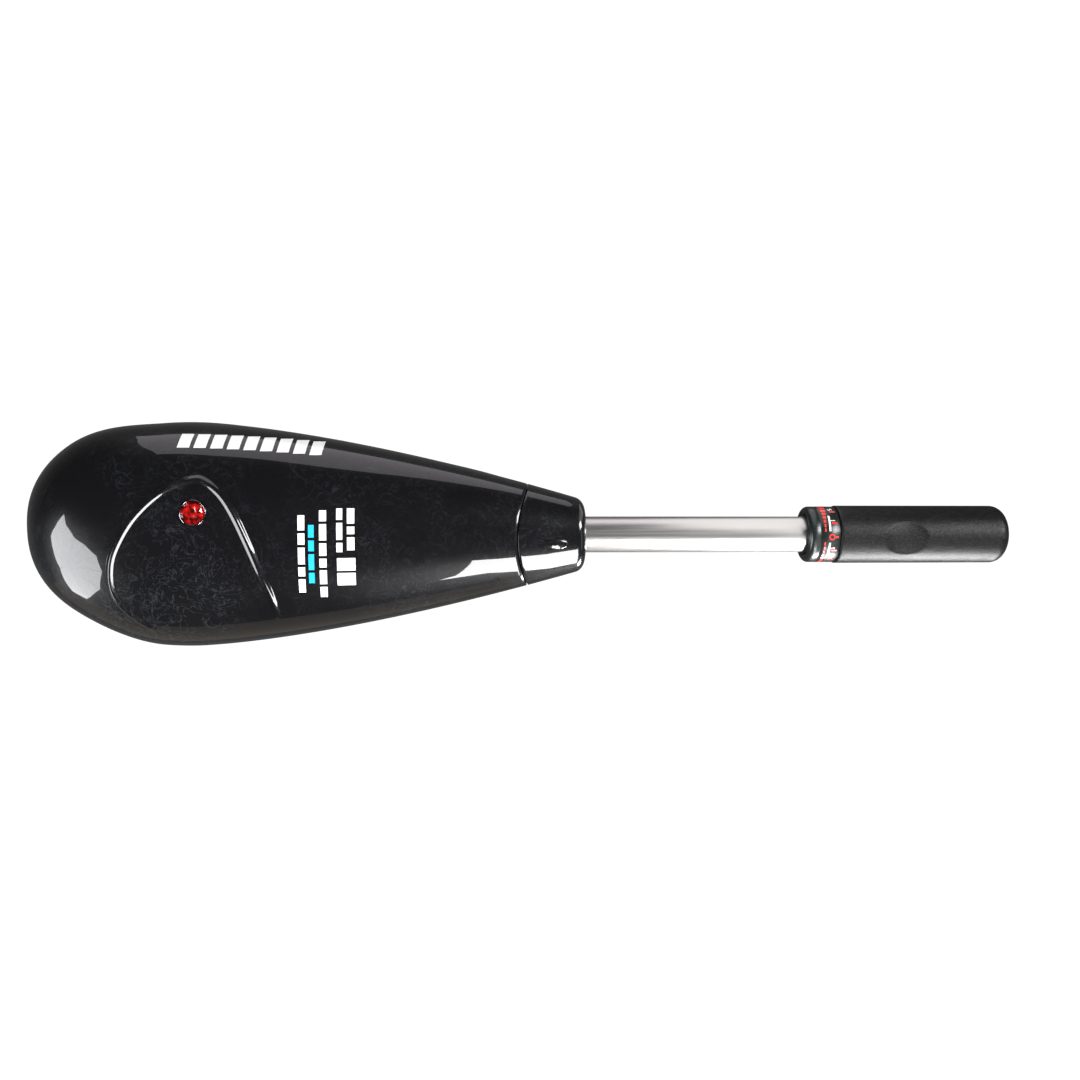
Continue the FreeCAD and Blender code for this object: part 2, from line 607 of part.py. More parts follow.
def around_pod(low, high):
    """Copies of one block, standing on the pod's axis, at equal turns about that axis."""
    blocks = []
    for step in range(SLOT_COUNT):
        angle = 360 * step / SLOT_COUNT
        item = doc.addObject("Part::Box", "Spoke")
        for side, start, end in zip(("Length", "Width", "Height"), low, high):
            item.setExpression(side, linked("(%s) - (%s)" % (end, start)))
        item.Placement = FreeCAD.Placement(
            FreeCAD.Vector(), FreeCAD.Rotation(FreeCAD.Vector(1, 0, 0), angle))
        across = "(%s) * cos(%g deg) - (%s) * sin(%g deg)" % (low[1], angle, low[2], angle)
        upward = "(%s) * sin(%g deg) + (%s) * cos(%g deg)" % (low[1], angle, low[2], angle)
        item.setExpression("Placement.Base.x", linked("shaft_x + (%s)" % low[0]))
        item.setExpression("Placement.Base.y", linked(across))
        item.setExpression("Placement.Base.z", linked("pod_z + " + upward))
        blocks.append(item)
    return blocks


def armature():
    core = rod(POD, "x", ("core_start", "0", "0"), "core_radius", "core_length")
    slots = around_pod(("core_start - 1", "-2.2", "15"),
                       ("core_start + core_length + 1", "2.2", "30"))
    bore = rod(POD, "x", ("core_start - 2", "0", "0"), "motor_shaft_radius + 0.01",
               "core_length + 4")
    piece("armature_core", cut(core, bore, *slots))
    bars = around_pod(("core_start - 3", "-2", "15.3"),
                      ("core_start + core_length + 3", "2", "24.6"))
    ends = [sleeve(POD, "x", (x, "0", "0"), "24", "9", "6")
            for x in ("core_start - 6.3", "core_start + core_length + 0.3")]
    piece("windings", fuse(*ends, *bars))
    drum = sleeve(POD, "x", ("commutator_start", "0", "0"), "commutator_radius",
                  "motor_shaft_radius + 0.01", "commutator_length")
    gaps = around_pod(("commutator_start + 2", "-0.3", "9"),
                      ("commutator_start + commutator_length + 1", "0.3", "14"))
    piece("commutator", cut(drum, *gaps))


def motor_shaft():
    long_rod = rod(POD, "x", ("motor_shaft_start", "0", "0"), "motor_shaft_radius",
                   "motor_shaft_length")
    pin_hole = rod(POD, "y", ("hub_start + 6", "-10", "0"), "1.62", "20")
    piece("motor_shaft", cut(long_rod, pin_hole))
    piece("drive_pin", rod(POD, "y", ("hub_start + 6", "-13", "0"), "1.6", "26"))


# ---------------------------------------------------------------- propeller
def blade_section(radius, chord, thickness, pitch_angle, sweep):
    """A closed, thin, lens-shaped outline across a blade at one radius."""
    points = []
    count = 14
    for step in range(count):
        angle = 2 * math.pi * step / count
        along = chord / 2 * math.cos(angle) + sweep
        thick = thickness / 2 * math.sin(angle)
        x = along * math.sin(pitch_angle) + thick * math.cos(pitch_angle)
        y = along * math.cos(pitch_angle) - thick * math.sin(pitch_angle)
        points.append(FreeCAD.Vector(x, y, radius))
    curve = Part.BSplineCurve()
    curve.interpolate(Points=points, PeriodicFlag=True)
    return Part.Wire([curve.toShape()])


def blade_shape(turn):
    tip = size("blade_tip")
    chord = size("blade_chord")
    thick = size("blade_thickness")
    root = size("hub_radius") - 5
    wires = []
    for part in (0, 0.2, 0.4, 0.6, 0.8, 0.92, 1):
        radius = root + (tip - root) * part
        width = chord * (0.45 + 1.6 * part * (1 - part) + 0.15 * part)
        width *= math.sqrt(max(1 - part ** 6, 0.03))
        pitch_angle = math.radians(62 - 36 * part)
        wires.append(blade_section(radius, width, thick * (1 - 0.7 * part), pitch_angle, -9 * part))
    blade = Part.makeLoft(wires, True, True)
    blade.rotate(FreeCAD.Vector(), FreeCAD.Vector(1, 0, 0), turn)
    blade.translate(FreeCAD.Vector(size("shaft_x") + size("blade_x"), 0, size("pod_z")))
    return blade


def propeller():
    hub = taper(POD, "x", ("hub_start", "0", "0"), "hub_radius - 4", "hub_radius", "hub_length")
    blades = [freeform(blade_shape(turn)) for turn in (0, 180)]
    bore = rod(POD, "x", ("hub_start - 2", "0", "0"), "motor_shaft_radius + 0.1", "80")
    slot = block(POD, ("hub_start - 1", "-13.5", "-1.75"), ("hub_start + 7.8", "13.5", "1.75"))
    relief = rod(POD, "x", ("hub_start + hub_length - 6", "0", "0"), "13", "10")
    piece("propeller", cut(fuse(hub, *blades), bore, slot, relief))
    piece("prop_washer", sleeve(POD, "x", ("hub_start - 2.1", "0", "0"), "9",
                                "motor_shaft_radius + 0.1", "2"))
    nut = cut(fuse(prism(POD, "x", ("hub_start - 12.2", "0", "0"), "nut_radius", "10"),
                   rod(POD, "x", ("hub_start - nut_length", "0", "0"), "7", "6")),
              rod(POD, "x", ("hub_start - 12.8", "0", "0"), "motor_shaft_radius + 0.02", "20"))
    piece("prop_nut", nut)


# ---------------------------------------------------------------- transom bracket
def clamp_bracket():
    top = block(BRACKET, ("bracket_back", "-plate_half_width", "0"),
                ("bracket_front", "plate_half_width", "plate_height"))
    rear = block(BRACKET, ("bracket_back", "-30", "-rear_leg_drop"),
                 ("bracket_back + rear_leg_thickness", "30", "1"))
    front = block(BRACKET, ("bracket_front - front_leg_thickness", "-plate_half_width + 2",
                            "-front_leg_drop"), ("bracket_front", "plate_half_width - 2", "1"))
    ribs = []
    ears = []
    holes = []
    for side in ("1", "-1"):
        middle = "%s * (ear_inner + ear_thickness / 2)" % side
        low = ("tilt_x", "%s - ear_thickness / 2" % middle, "-24")
        ears.append(block(BRACKET, low, ("bracket_back + 14", "%s + ear_thickness / 2" % middle,
                                         "tilt_z + 6")))
        ears.append(rod(BRACKET, "y", ("tilt_x", "%s - ear_thickness / 2" % middle, "tilt_z"),
                        "ear_radius", "ear_thickness"))
        ribs.append(block(BRACKET, ("bracket_back + 8", "%s * 20 - 2" % side, "plate_height - 1"),
                          ("bracket_front - 4", "%s * 20 + 2" % side, "plate_height + 5")))
        boss = ("bracket_front - 1", "%s * clamp_y" % side, "clamp_z")
        ears.append(rod(BRACKET, "x", boss, "9", "5"))
        hole = ("bracket_front - 20", "%s * clamp_y" % side, "clamp_z")
        holes.append(rod(BRACKET, "x", hole, "clamp_screw_radius + 0.1", "40"))
    pin_hole = rod(BRACKET, "y", ("tilt_x", "-50", "tilt_z"), "tilt_pin_radius + 0.02", "100")
    keep_clear = block(BRACKET, ("bracket_back + rear_leg_thickness", "-60", "-60"),
                       ("bracket_front - front_leg_thickness", "60", "0"))
    body = fuse(top, rear, front, *ears, *ribs)
    piece("clamp_bracket", cut(body, pin_hole, keep_clear, *holes))


def tilt_hardware():
    outside = "ear_inner + ear_thickness"
    pin = fuse(rod(BRACKET, "y", ("tilt_x", "-(%s) - 5" % outside, "tilt_z"), "8.5", "4.9"),
               rod(BRACKET, "y", ("tilt_x", "-(%s) - 2" % outside, "tilt_z"), "tilt_pin_radius",
                   "2 * (%s) + 14.5" % outside))
    piece("tilt_pin", pin)


def lobed_knob(label, origin, place, side, bore):
    """A hand knob on a Y axis, with five scallops; side is 1 or -1, the way it points."""
    start = (place[0], "%s + %s" % (place[1], "0" if side > 0 else "-knob_height"), place[2])
    body = rod(origin, "y", start, "knob_radius", "knob_height")
    tools = []
    for step in range(5):
        angle = 72 * step + 36
        x = "%s + 16.5 * cos(%g deg)" % (place[0], angle)
        z = "%s + 16.5 * sin(%g deg)" % (place[2], angle)
        tools.append(rod(origin, "y", (x, start[1] + " - 1", z), "5.5", "knob_height + 2"))
    hole_start = (place[0], start[1] + (" - 4" if side > 0 else " + 4"), place[2])
    tools.append(rod(origin, "y", hole_start, bore, "knob_height"))
    piece(label, cut(body, *tools))


def swivel_housing():
    tube = rod(BRACKET, "z", ("shaft_x", "0", "sleeve_foot"), "sleeve_radius",
               "sleeve_top - sleeve_foot")
    lug = rod(BRACKET, "y", ("tilt_x", "gap - ear_inner", "tilt_z"), "lug_radius",
              "2 * (ear_inner - gap)")
    web = block(BRACKET, ("shaft_x + 6", "gap - ear_inner", "tilt_z - lug_radius"),
                ("tilt_x", "ear_inner - gap", "tilt_z + lug_radius"))
    boss = rod(BRACKET, "y", ("shaft_x", "16", "tension_z"), "8", "11")
    bore = rod(BRACKET, "z", ("shaft_x", "0", "sleeve_foot - 5"), "sleeve_bore", "160")
    pin_hole = rod(BRACKET, "y", ("tilt_x", "-40", "tilt_z"), "tilt_pin_radius + fit", "80")
    stud_hole = rod(BRACKET, "y", ("shaft_x", "10", "tension_z"), "knob_stud_radius + 0.05", "30")
    piece("swivel_housing", cut(fuse(tube, lug, web, boss), bore, pin_hole, stud_hole))
    bushes = []
    for low in ("sleeve_foot", "sleeve_top - 24"):
        bushes.append(sleeve(BRACKET, "z", ("shaft_x", "0", low), "sleeve_bore - 0.02",
                             "shaft_radius + fit", "24"))
    piece("swivel_bushes", group(*bushes))
    stud = rod(BRACKET, "y", ("shaft_x", "shaft_radius + 0.35", "tension_z"), "knob_stud_radius",
               "stud_length")
    piece("tension_stud", stud)
    lobed_knob("tension_knob", BRACKET, ("shaft_x", "28", "tension_z"), 1, "knob_stud_radius + 0.02")


def depth_collar():
    ring = rod(BRACKET, "z", ("shaft_x", "0", "sleeve_top + gap"), "collar_radius", "collar_height")
    boss = rod(BRACKET, "y", ("shaft_x", "-30", "sleeve_top + gap + collar_height / 2"), "8", "14")
    bore = rod(BRACKET, "z", ("shaft_x", "0", "sleeve_top - 10"), "shaft_radius + 0.08", "60")
    stud_hole = rod(BRACKET, "y", ("shaft_x", "-40", "sleeve_top + gap + collar_height / 2"),
                    "knob_stud_radius + 0.05", "40")
    piece("depth_collar", cut(fuse(ring, boss), bore, stud_hole))
    height = "sleeve_top + gap + collar_height / 2"
    stud = rod(BRACKET, "y", ("shaft_x", "-(shaft_radius + 0.35) - stud_length", height),
               "knob_stud_radius", "stud_length")
    piece("depth_stud", stud)
    lobed_knob("depth_knob", BRACKET, ("shaft_x", "-31", height), -1, "knob_stud_radius + 0.02")


def clamp_screws():
    """Two screws through the front leg, each with a swivelling pad and a wing handle."""
    for side, sign in (("left", "1"), ("right", "-1")):
        y = "%s * clamp_y" % sign
        stem = rod(BRACKET, "x", ("clamp_pad_x + 2", y, "clamp_z"), "clamp_screw_radius",
                   "clamp_handle_x + 8.5 - clamp_pad_x")
        piece(side + "_clamp_screw", stem)
        disc = rod(BRACKET, "x", ("clamp_pad_x", y, "clamp_z"), "clamp_pad_radius",
                   "clamp_pad_thickness")
        pocket = rod(BRACKET, "x", ("clamp_pad_x + 1.7", y, "clamp_z"),
                     "clamp_screw_radius + fit", "10")
        piece(side + "_clamp_pad", cut(disc, pocket))
        hub = rod(BRACKET, "x", ("clamp_handle_x", y, "clamp_z"), "9", "14")
        wings = block(BRACKET,
                      ("clamp_handle_x + 4", "%s - 3.5" % y, "clamp_z - clamp_handle_half + 3"),
                      ("clamp_handle_x + 11", "%s + 3.5" % y, "clamp_z + clamp_handle_half - 3"))
        ends = ["clamp_z + (%s) * (clamp_handle_half - 6)" % sense for sense in ("1", "-1")]
        knobs = [rod(BRACKET, "x", ("clamp_handle_x + 3", y, end), "6", "9") for end in ends]
        bore = rod(BRACKET, "x", ("clamp_handle_x - 2", y, "clamp_z"),
                   "clamp_screw_radius + 0.02", "13")
        piece(side + "_clamp_handle", cut(fuse(hub, wings, *knobs), bore))


# ---------------------------------------------------------------- assembly
head_cover()
head_base()
cover_gasket()
nose_collar()
piece("nose_screws", group(*head_screws()))
indicator()
speed_switch()
motor_leads()
tiller()
twist_grip()
shaft_group()
cable_gland()
motor_housing()
nose_cone()
rear_bell()
piece("pod_through_bolts", group(*pod_seals_and_bolts()))
field_magnets()
bearings()
brush_gear()
armature()
motor_shaft()
propeller()
clamp_bracket()
tilt_hardware()
lobed_knob("tilt_knob", BRACKET, ("tilt_x", "ear_inner + ear_thickness + 2", "tilt_z"), 1,
           "tilt_pin_radius + 0.02")
swivel_housing()
depth_collar()
clamp_screws()

doc.recompute()
for item in doc.Objects:
    if "Invalid" in item.State or "Error" in item.State:
        raise RuntimeError("%s (%s) failed: %s" % (item.Name, item.Label, item.State))
for label, item in pieces.items():
    if item.Shape.isNull() or not item.Shape.isValid():
        raise RuntimeError("%s has no valid shape" % label)
for label, item in pieces.items():
    item.Shape.exportStep("parts/%s.step" % label)
    print("%-20s solids %d volume %.0f" % (label, len(item.Shape.Solids), item.Shape.Volume))
print("nodes", len(pieces))
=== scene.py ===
"""Looks of a transom-mount trolling motor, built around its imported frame. Lengths are metres."""
import json
import math

import bmesh
import bpy
from mathutils import Matrix, Vector

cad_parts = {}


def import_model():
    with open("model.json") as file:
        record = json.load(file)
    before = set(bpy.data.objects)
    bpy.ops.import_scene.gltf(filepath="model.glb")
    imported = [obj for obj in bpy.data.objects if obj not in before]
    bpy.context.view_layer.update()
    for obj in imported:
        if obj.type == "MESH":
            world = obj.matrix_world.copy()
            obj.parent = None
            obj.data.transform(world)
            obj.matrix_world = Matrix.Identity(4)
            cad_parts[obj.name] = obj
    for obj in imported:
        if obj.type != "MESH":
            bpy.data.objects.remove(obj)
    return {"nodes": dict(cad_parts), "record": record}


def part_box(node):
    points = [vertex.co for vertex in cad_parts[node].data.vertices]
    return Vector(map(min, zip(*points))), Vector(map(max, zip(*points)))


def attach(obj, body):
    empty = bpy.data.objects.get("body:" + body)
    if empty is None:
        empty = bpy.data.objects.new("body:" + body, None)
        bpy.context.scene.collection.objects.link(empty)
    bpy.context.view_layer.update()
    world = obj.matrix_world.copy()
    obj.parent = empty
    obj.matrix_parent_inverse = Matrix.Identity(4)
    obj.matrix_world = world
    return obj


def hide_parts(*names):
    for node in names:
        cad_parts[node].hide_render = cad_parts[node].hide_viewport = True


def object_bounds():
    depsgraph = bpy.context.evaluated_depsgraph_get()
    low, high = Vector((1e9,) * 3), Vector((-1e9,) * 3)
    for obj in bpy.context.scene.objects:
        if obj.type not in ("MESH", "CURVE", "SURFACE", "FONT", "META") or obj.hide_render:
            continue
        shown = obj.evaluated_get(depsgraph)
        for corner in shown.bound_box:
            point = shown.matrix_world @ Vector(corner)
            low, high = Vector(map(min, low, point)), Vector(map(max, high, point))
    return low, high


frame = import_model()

cad_low, cad_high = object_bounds()

MM = 0.001
SAME_POINT = 1e-6


def middle(node):
    low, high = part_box(node)
    return (low + high) / 2


SHAFT = middle("shaft_tube")
TILLER = middle("tiller_tube")
HEAD = Vector((SHAFT.x, 0, TILLER.z))
POD = Vector((SHAFT.x, 0, middle("motor_shaft").z))


# ---------------------------------------------------------------- materials
def new_material(name, color, rough, metal=0.0, coat=0.0, coat_rough=0.03, specular=0.5):
    """A Principled material, with its node tree and its shader."""
    made = bpy.data.materials.new(name)
    made.use_nodes = True
    tree = made.node_tree
    shader = tree.nodes["Principled BSDF"]
    shader.inputs["Base Color"].default_value = (*color, 1)
    shader.inputs["Roughness"].default_value = rough
    shader.inputs["Metallic"].default_value = metal
    shader.inputs["Coat Weight"].default_value = coat
    shader.inputs["Coat Roughness"].default_value = coat_rough
    shader.inputs["Specular IOR Level"].default_value = specular
    return made, tree, shader


def object_coordinates(tree, stretch=(1, 1, 1)):
    """Coordinates in the object's own metres, stretched along its axes."""
    source = tree.nodes.new("ShaderNodeTexCoord")
    mapping = tree.nodes.new("ShaderNodeMapping")
    mapping.inputs["Scale"].default_value = stretch
    tree.links.new(source.outputs["Object"], mapping.inputs["Vector"])
    return mapping.outputs["Vector"]


def noise(tree, scale, detail=3, stretch=(1, 1, 1), roughness=0.5):
    """A noise value in the object's own metres."""
    node = tree.nodes.new("ShaderNodeTexNoise")
    node.inputs["Scale"].default_value = scale
    node.inputs["Detail"].default_value = detail
    node.inputs["Roughness"].default_value = roughness
    tree.links.new(object_coordinates(tree, stretch), node.inputs["Vector"])
    return node.outputs["Fac"]


def combine(tree, operation, first, second):
    """One value made by a Math node from a value and another value or a number."""
    node = tree.nodes.new("ShaderNodeMath")
    node.operation = operation
    tree.links.new(first, node.inputs[0])
    if isinstance(second, (int, float)):
        node.inputs[1].default_value = second
    else:
        tree.links.new(second, node.inputs[1])
    return node.outputs[0]


def hairlines(tree, scale, width, distortion):
    """Thin winding lines, 1 on a line and 0 away from it, such as rubbing marks leave."""
    winding = noise(tree, scale, 2)
    winding.node.inputs["Distortion"].default_value = distortion
    offset = combine(tree, "SUBTRACT", winding, 0.5)
    return remap(tree, combine(tree, "ABSOLUTE", offset, 0), 0, width, 1, 0)


def remap(tree, value, low, high, to_low, to_high):
    """A value carried from one range to another."""
    node = tree.nodes.new("ShaderNodeMapRange")
    node.inputs["From Min"].default_value = low
    node.inputs["From Max"].default_value = high
    node.inputs["To Min"].default_value = to_low
    node.inputs["To Max"].default_value = to_high
    tree.links.new(value, node.inputs["Value"])
    return node.outputs["Result"]


def mix_colors(tree, factor, first, second):
    """A colour between two, by a factor."""
    node = tree.nodes.new("ShaderNodeMix")
    node.data_type = "RGBA"
    tree.links.new(factor, node.inputs["Factor"])
    node.inputs["A"].default_value = (*first, 1)
    node.inputs["B"].default_value = (*second, 1)
    return node.outputs["Result"]


def color_by(tree, shader, factor, first, second):
    """Sets the base colour between two, by a factor."""
    tree.links.new(mix_colors(tree, factor, first, second), shader.inputs["Base Color"])


def rough_by(tree, shader, value, low, high, from_low=0.3, from_high=0.7):
    """Sets the roughness between two values, by a noise."""
    tree.links.new(remap(tree, value, from_low, from_high, low, high),
                   shader.inputs["Roughness"])


def bump(tree, shader, height, strength, distance):
    """Roughens a shader's normal by a height value; distance is in metres."""
    node = tree.nodes.new("ShaderNodeBump")
    node.inputs["Strength"].default_value = strength
    node.inputs["Distance"].default_value = distance
    tree.links.new(height, node.inputs["Height"])
    tree.links.new(node.outputs["Normal"], shader.inputs["Normal"])


def gloss_black():
    """Polished black moulding under a clear skin, with fine rubbing marks."""
    made, tree, shader = new_material("gloss_black_moulding", (0.004, 0.004, 0.005), 0.3,
                                      coat=1.0, coat_rough=0.02, specular=0.14)
    hairs = hairlines(tree, 42, 0.012, 2.6)
    finer = hairlines(tree, 95, 0.02, 1.8)
    both = combine(tree, "MAXIMUM", hairs, finer)
    cloud = remap(tree, noise(tree, 11, 4, roughness=0.6), 0.42, 0.7, 0, 1)
    worn = combine(tree, "MULTIPLY", both, cloud)
    rough_by(tree, shader, cloud, 0.24, 0.4, 0, 1)
    color_by(tree, shader, worn, (0.004, 0.004, 0.0045), (0.028, 0.031, 0.038))
    bump(tree, shader, worn, 0.25, 0.00001)
    return made


def grip_plastic():
    """Soft black plastic with a fine spark-eroded grain."""
    made, tree, shader = new_material("grained_grip", (0.013, 0.013, 0.014), 0.42,
                                      specular=0.25)
    grain = noise(tree, 1100, 3, roughness=0.7)
    patches = noise(tree, 40, 3)
    rough_by(tree, shader, patches, 0.29, 0.37)
    color_by(tree, shader, remap(tree, grain, 0.45, 0.75, 0, 1), (0.002, 0.002, 0.0022),
             (0.022, 0.022, 0.024))
    bump(tree, shader, grain, 0.5, 0.0005)
    return made


def dial_plastic():
    """Smooth, slightly green-black plastic for the dial."""
    made, tree, shader = new_material("dial_black", (0.006, 0.010, 0.009), 0.3, coat=0.2,
                                      coat_rough=0.25)
    speck = noise(tree, 500, 3)
    rough_by(tree, shader, speck, 0.26, 0.36)
    bump(tree, shader, speck, 0.08, 0.0001)
    return made


def satin_tube():
    """Drawn and anodised aluminium with very fine lines along its length."""
    made, tree, shader = new_material("anodised_tube", (0.62, 0.60, 0.59), 0.5, metal=1.0)
    lines = noise(tree, 900, 4, (0.012, 1, 1), 0.6)
    cloud = noise(tree, 22, 3)
    rough_by(tree, shader, lines, 0.3, 0.4)
    color_by(tree, shader, cloud, (0.60, 0.575, 0.56), (0.68, 0.665, 0.655))
    bump(tree, shader, lines, 0.08, 0.00008)
    return made


def moulded_black(name="moulded_black", tone=0.018, rough=0.5):
    """Glass-filled black nylon with a faint orange-peel."""
    made, tree, shader = new_material(name, (tone, tone, tone), rough)
    fine = noise(tree, 900, 4, roughness=0.6)
    broad = noise(tree, 30, 3)
    rough_by(tree, shader, broad, rough - 0.07, rough + 0.08)
    color_by(tree, shader, fine, (tone * 0.7,) * 3, (tone * 1.6,) * 3)
    bump(tree, shader, fine, 0.25, 0.00025)
    return made


def pod_paint():
    """Baked black paint on the motor pod, with worn patches."""
    made, tree, shader = new_material("pod_paint", (0.012, 0.012, 0.013), 0.36, coat=0.25,
                                      coat_rough=0.2)
    peel = noise(tree, 420, 3)
    wear = noise(tree, 18, 5, roughness=0.65)
    rough_by(tree, shader, wear, 0.28, 0.5, 0.3, 0.75)
    color_by(tree, shader, remap(tree, wear, 0.5, 0.8, 0, 1), (0.011, 0.011, 0.012),
             (0.028, 0.028, 0.030))
    bump(tree, shader, peel, 0.12, 0.0002)
    return made


def stainless():
    """Turned stainless steel with fine lines."""
    made, tree, shader = new_material("stainless_steel", (0.56, 0.56, 0.55), 0.28, metal=1.0)
    lines = noise(tree, 700, 4, (0.1, 1, 1), 0.6)
    rough_by(tree, shader, lines, 0.2, 0.38)
    color_by(tree, shader, noise(tree, 60, 3), (0.5, 0.5, 0.49), (0.62, 0.62, 0.61))
    bump(tree, shader, lines, 0.1, 0.0001)
    return made


def plain_noised(name, color, rough, metal=0.0, scale=300, depth=0.0001):
    """A general material with small changes of tone and roughness."""
    made, tree, shader = new_material(name, color, rough, metal)
    speck = noise(tree, scale, 4)
    rough_by(tree, shader, speck, rough * 0.85, min(rough * 1.2, 1))
    color_by(tree, shader, speck, [c * 0.85 for c in color], [min(c * 1.15, 1) for c in color])
    bump(tree, shader, speck, 0.2, depth)
    return made


def red_lens_with_painted_glow():
    """Clear red moulding with a faint painted glow: it gives off light in its own red tone, though
    the lens is not lit.
    """
    made, tree, shader = new_material("red_lens_with_painted_glow", (0.55, 0.008, 0.006), 0.06, coat=1.0,
                                      coat_rough=0.02, specular=0.8)
    cloud = noise(tree, 330, 2)
    tone = mix_colors(tree, remap(tree, cloud, 0.4, 0.62, 0, 1), (0.04, 0.001, 0.001),
                      (0.42, 0.006, 0.004))
    tree.links.new(tone, shader.inputs["Base Color"])
    # painted glow: the unlit lens gives off faint light of its own red tone
    tree.links.new(tone, shader.inputs["Emission Color"])
    shader.inputs["Emission Strength"].default_value = 0.1
    return made


def ink(name, color):
    """A printed colour with slight unevenness."""
    made, tree, shader = new_material(name, color, 0.35, coat=0.5, coat_rough=0.06)
    speck = noise(tree, 800, 2)
    color_by(tree, shader, speck, [c * 0.92 for c in color], [min(c * 1.05, 1) for c in color])
    return made


MATERIALS = {
    "gloss_black": gloss_black(),
    "grip_black": grip_plastic(),
    "dial_black": dial_plastic(),
    "silver_tube": satin_tube(),
    "bracket_black": moulded_black(),
    "prop_black": moulded_black("propeller_black", 0.02, 0.38),
    "composite_shaft": moulded_black("composite_shaft", 0.016, 0.4),
    "pod_black": pod_paint(),
    "steel": stainless(),
    "bright_metal": plain_noised("bright_ring", (0.34, 0.34, 0.36), 0.12, 1.0, 500, 0.00005),
    "cast_socket": plain_noised("cast_aluminium", (0.5, 0.5, 0.5), 0.45, 1.0, 400, 0.0003),
    "black_rubber": plain_noised("black_rubber", (0.02, 0.02, 0.02), 0.7, 0.0, 600, 0.0002),
    "white_bush": plain_noised("acetal", (0.72, 0.71, 0.67), 0.4, 0.0, 200, 0.0001),
    "board_green": plain_noised("circuit_board", (0.03, 0.2, 0.09), 0.4, 0.0, 700, 0.0001),
    "copper": plain_noised("copper", (0.72, 0.36, 0.2), 0.3, 1.0, 300, 0.0001),
    "carbon": plain_noised("carbon_block", (0.03, 0.03, 0.03), 0.6, 0.0, 500, 0.0002),
    "magnet": plain_noised("ferrite", (0.09, 0.09, 0.095), 0.6, 0.2, 300, 0.0003),
    "core_steel": plain_noised("core_laminations", (0.3, 0.3, 0.31), 0.4, 1.0, 300, 0.0002),
    "lens_red": red_lens_with_painted_glow(),
}
INKS = {
    "white": ink("white_ink", (0.84, 0.85, 0.85)),
    "cyan": ink("cyan_ink", (0.0, 0.42, 0.72)),
    "red": ink("red_ink", (0.75, 0.02, 0.015)),
}


SLOTS = {part["node"]: part["material_slot"] for part in frame["record"]["subparts"]}


def dress_frame():
    """Gives every CAD node that stays the detailed material of its slot."""
    for name, item in frame["nodes"].items():
        item.data.materials.clear()
        item.data.materials.append(MATERIALS[SLOTS[name]])


# ---------------------------------------------------------------- mesh helpers
def add_object(name, data):
    """A new object in the scene."""
    item = bpy.data.objects.new(name, data)
    bpy.context.collection.objects.link(item)
    return item


def mesh_piece(name, vertices, faces, body, slot, material=None, smooth=True):
    """A visible piece from its points and faces, riding on a body."""
    mesh = bpy.data.meshes.new(name)
    mesh.from_pydata([tuple(v) for v in vertices], [], faces)
    mesh.validate()
    mesh.update()
    mesh.polygons.foreach_set("use_smooth", [smooth] * len(mesh.polygons))
    item = add_object(name, mesh)
    mesh.materials.append(material or MATERIALS[slot])
    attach(item, body)
    return item


def ring_faces(rings, around, closed=True, start_cap=False, end_cap=False):
    """Faces between rows of points; a closed row joins its last point to its first."""
    faces = []
    last = around if closed else around - 1
    for row in range(rings - 1):
        for step in range(last):
            after = (step + 1) % around
            faces.append((row * around + step, row * around + after,
                          (row + 1) * around + after, (row + 1) * around + step))
    if start_cap:
        faces.append(tuple(range(around))[::-1])
    if end_cap:
        faces.append(tuple((rings - 1) * around + step for step in range(around)))
    return faces


def softened(profile, radius, steps=5):
    """The same open outline with each inner corner rounded."""
    points = [Vector((a, r)) for a, r in profile]
    result = [points[0]]
    for before, corner, after in zip(points, points[1:], points[2:]):
        into = before - corner
        out = after - corner
        reach = min(radius, into.length * 0.45, out.length * 0.45)
        start = corner + into.normalized() * reach
        end = corner + out.normalized() * reach
        for step in range(steps + 1):
            part = step / steps
            result.append(start * (1 - part) ** 2 + corner * 2 * part * (1 - part)
                          + end * part ** 2)
    result.append(points[-1])
    return [(p.x, p.y) for p in result]


def axis_frame(axis):
    """Two directions square to an axis, so that a turn runs by the right-hand rule."""
    side = Vector((0, 0, 1)) if abs(axis.z) < 0.9 else Vector((1, 0, 0))
    first = (side - axis * side.dot(axis)).normalized()
    return first, axis.cross(first)


def along_tiller(name, start, profile, body, slot, around, scallop=None):
    """A turned piece on the tiller's axis, towards the grip from a given x."""
    return lathe(name, Vector((start, 0, TILLER.z)), (1, 0, 0), profile, body, slot, around,
                 scallop)


def lathe(name, origin, axis, profile, body, slot, around=72, scallop=None):
    """A turned piece; profile lists (distance along the axis, radius) from the origin on.

    A scallop function gives the factor on the radius at a turn, distance and radius.
    """
    axis = Vector(axis).normalized()
    first, second = axis_frame(axis)
    vertices = []
    for along, radius in profile:
        for step in range(around):
            turn = 2 * math.pi * step / around
            reach = radius if scallop is None else radius * scallop(turn, along, radius)
            direction = first * math.cos(turn) + second * math.sin(turn)
            vertices.append(origin + axis * along + direction * reach)
    item = mesh_piece(name, vertices, ring_faces(len(profile), around), body, slot)
    if min(profile[0][1], profile[-1][1]) < SAME_POINT:
        weld(item)
    return item


def weld(item):
    """Joins the points that meet, such as at the tip of a turned piece."""
    shape = bmesh.new()
    shape.from_mesh(item.data)
    bmesh.ops.remove_doubles(shape, verts=shape.verts, dist=SAME_POINT)
    shape.to_mesh(item.data)
    shape.free()


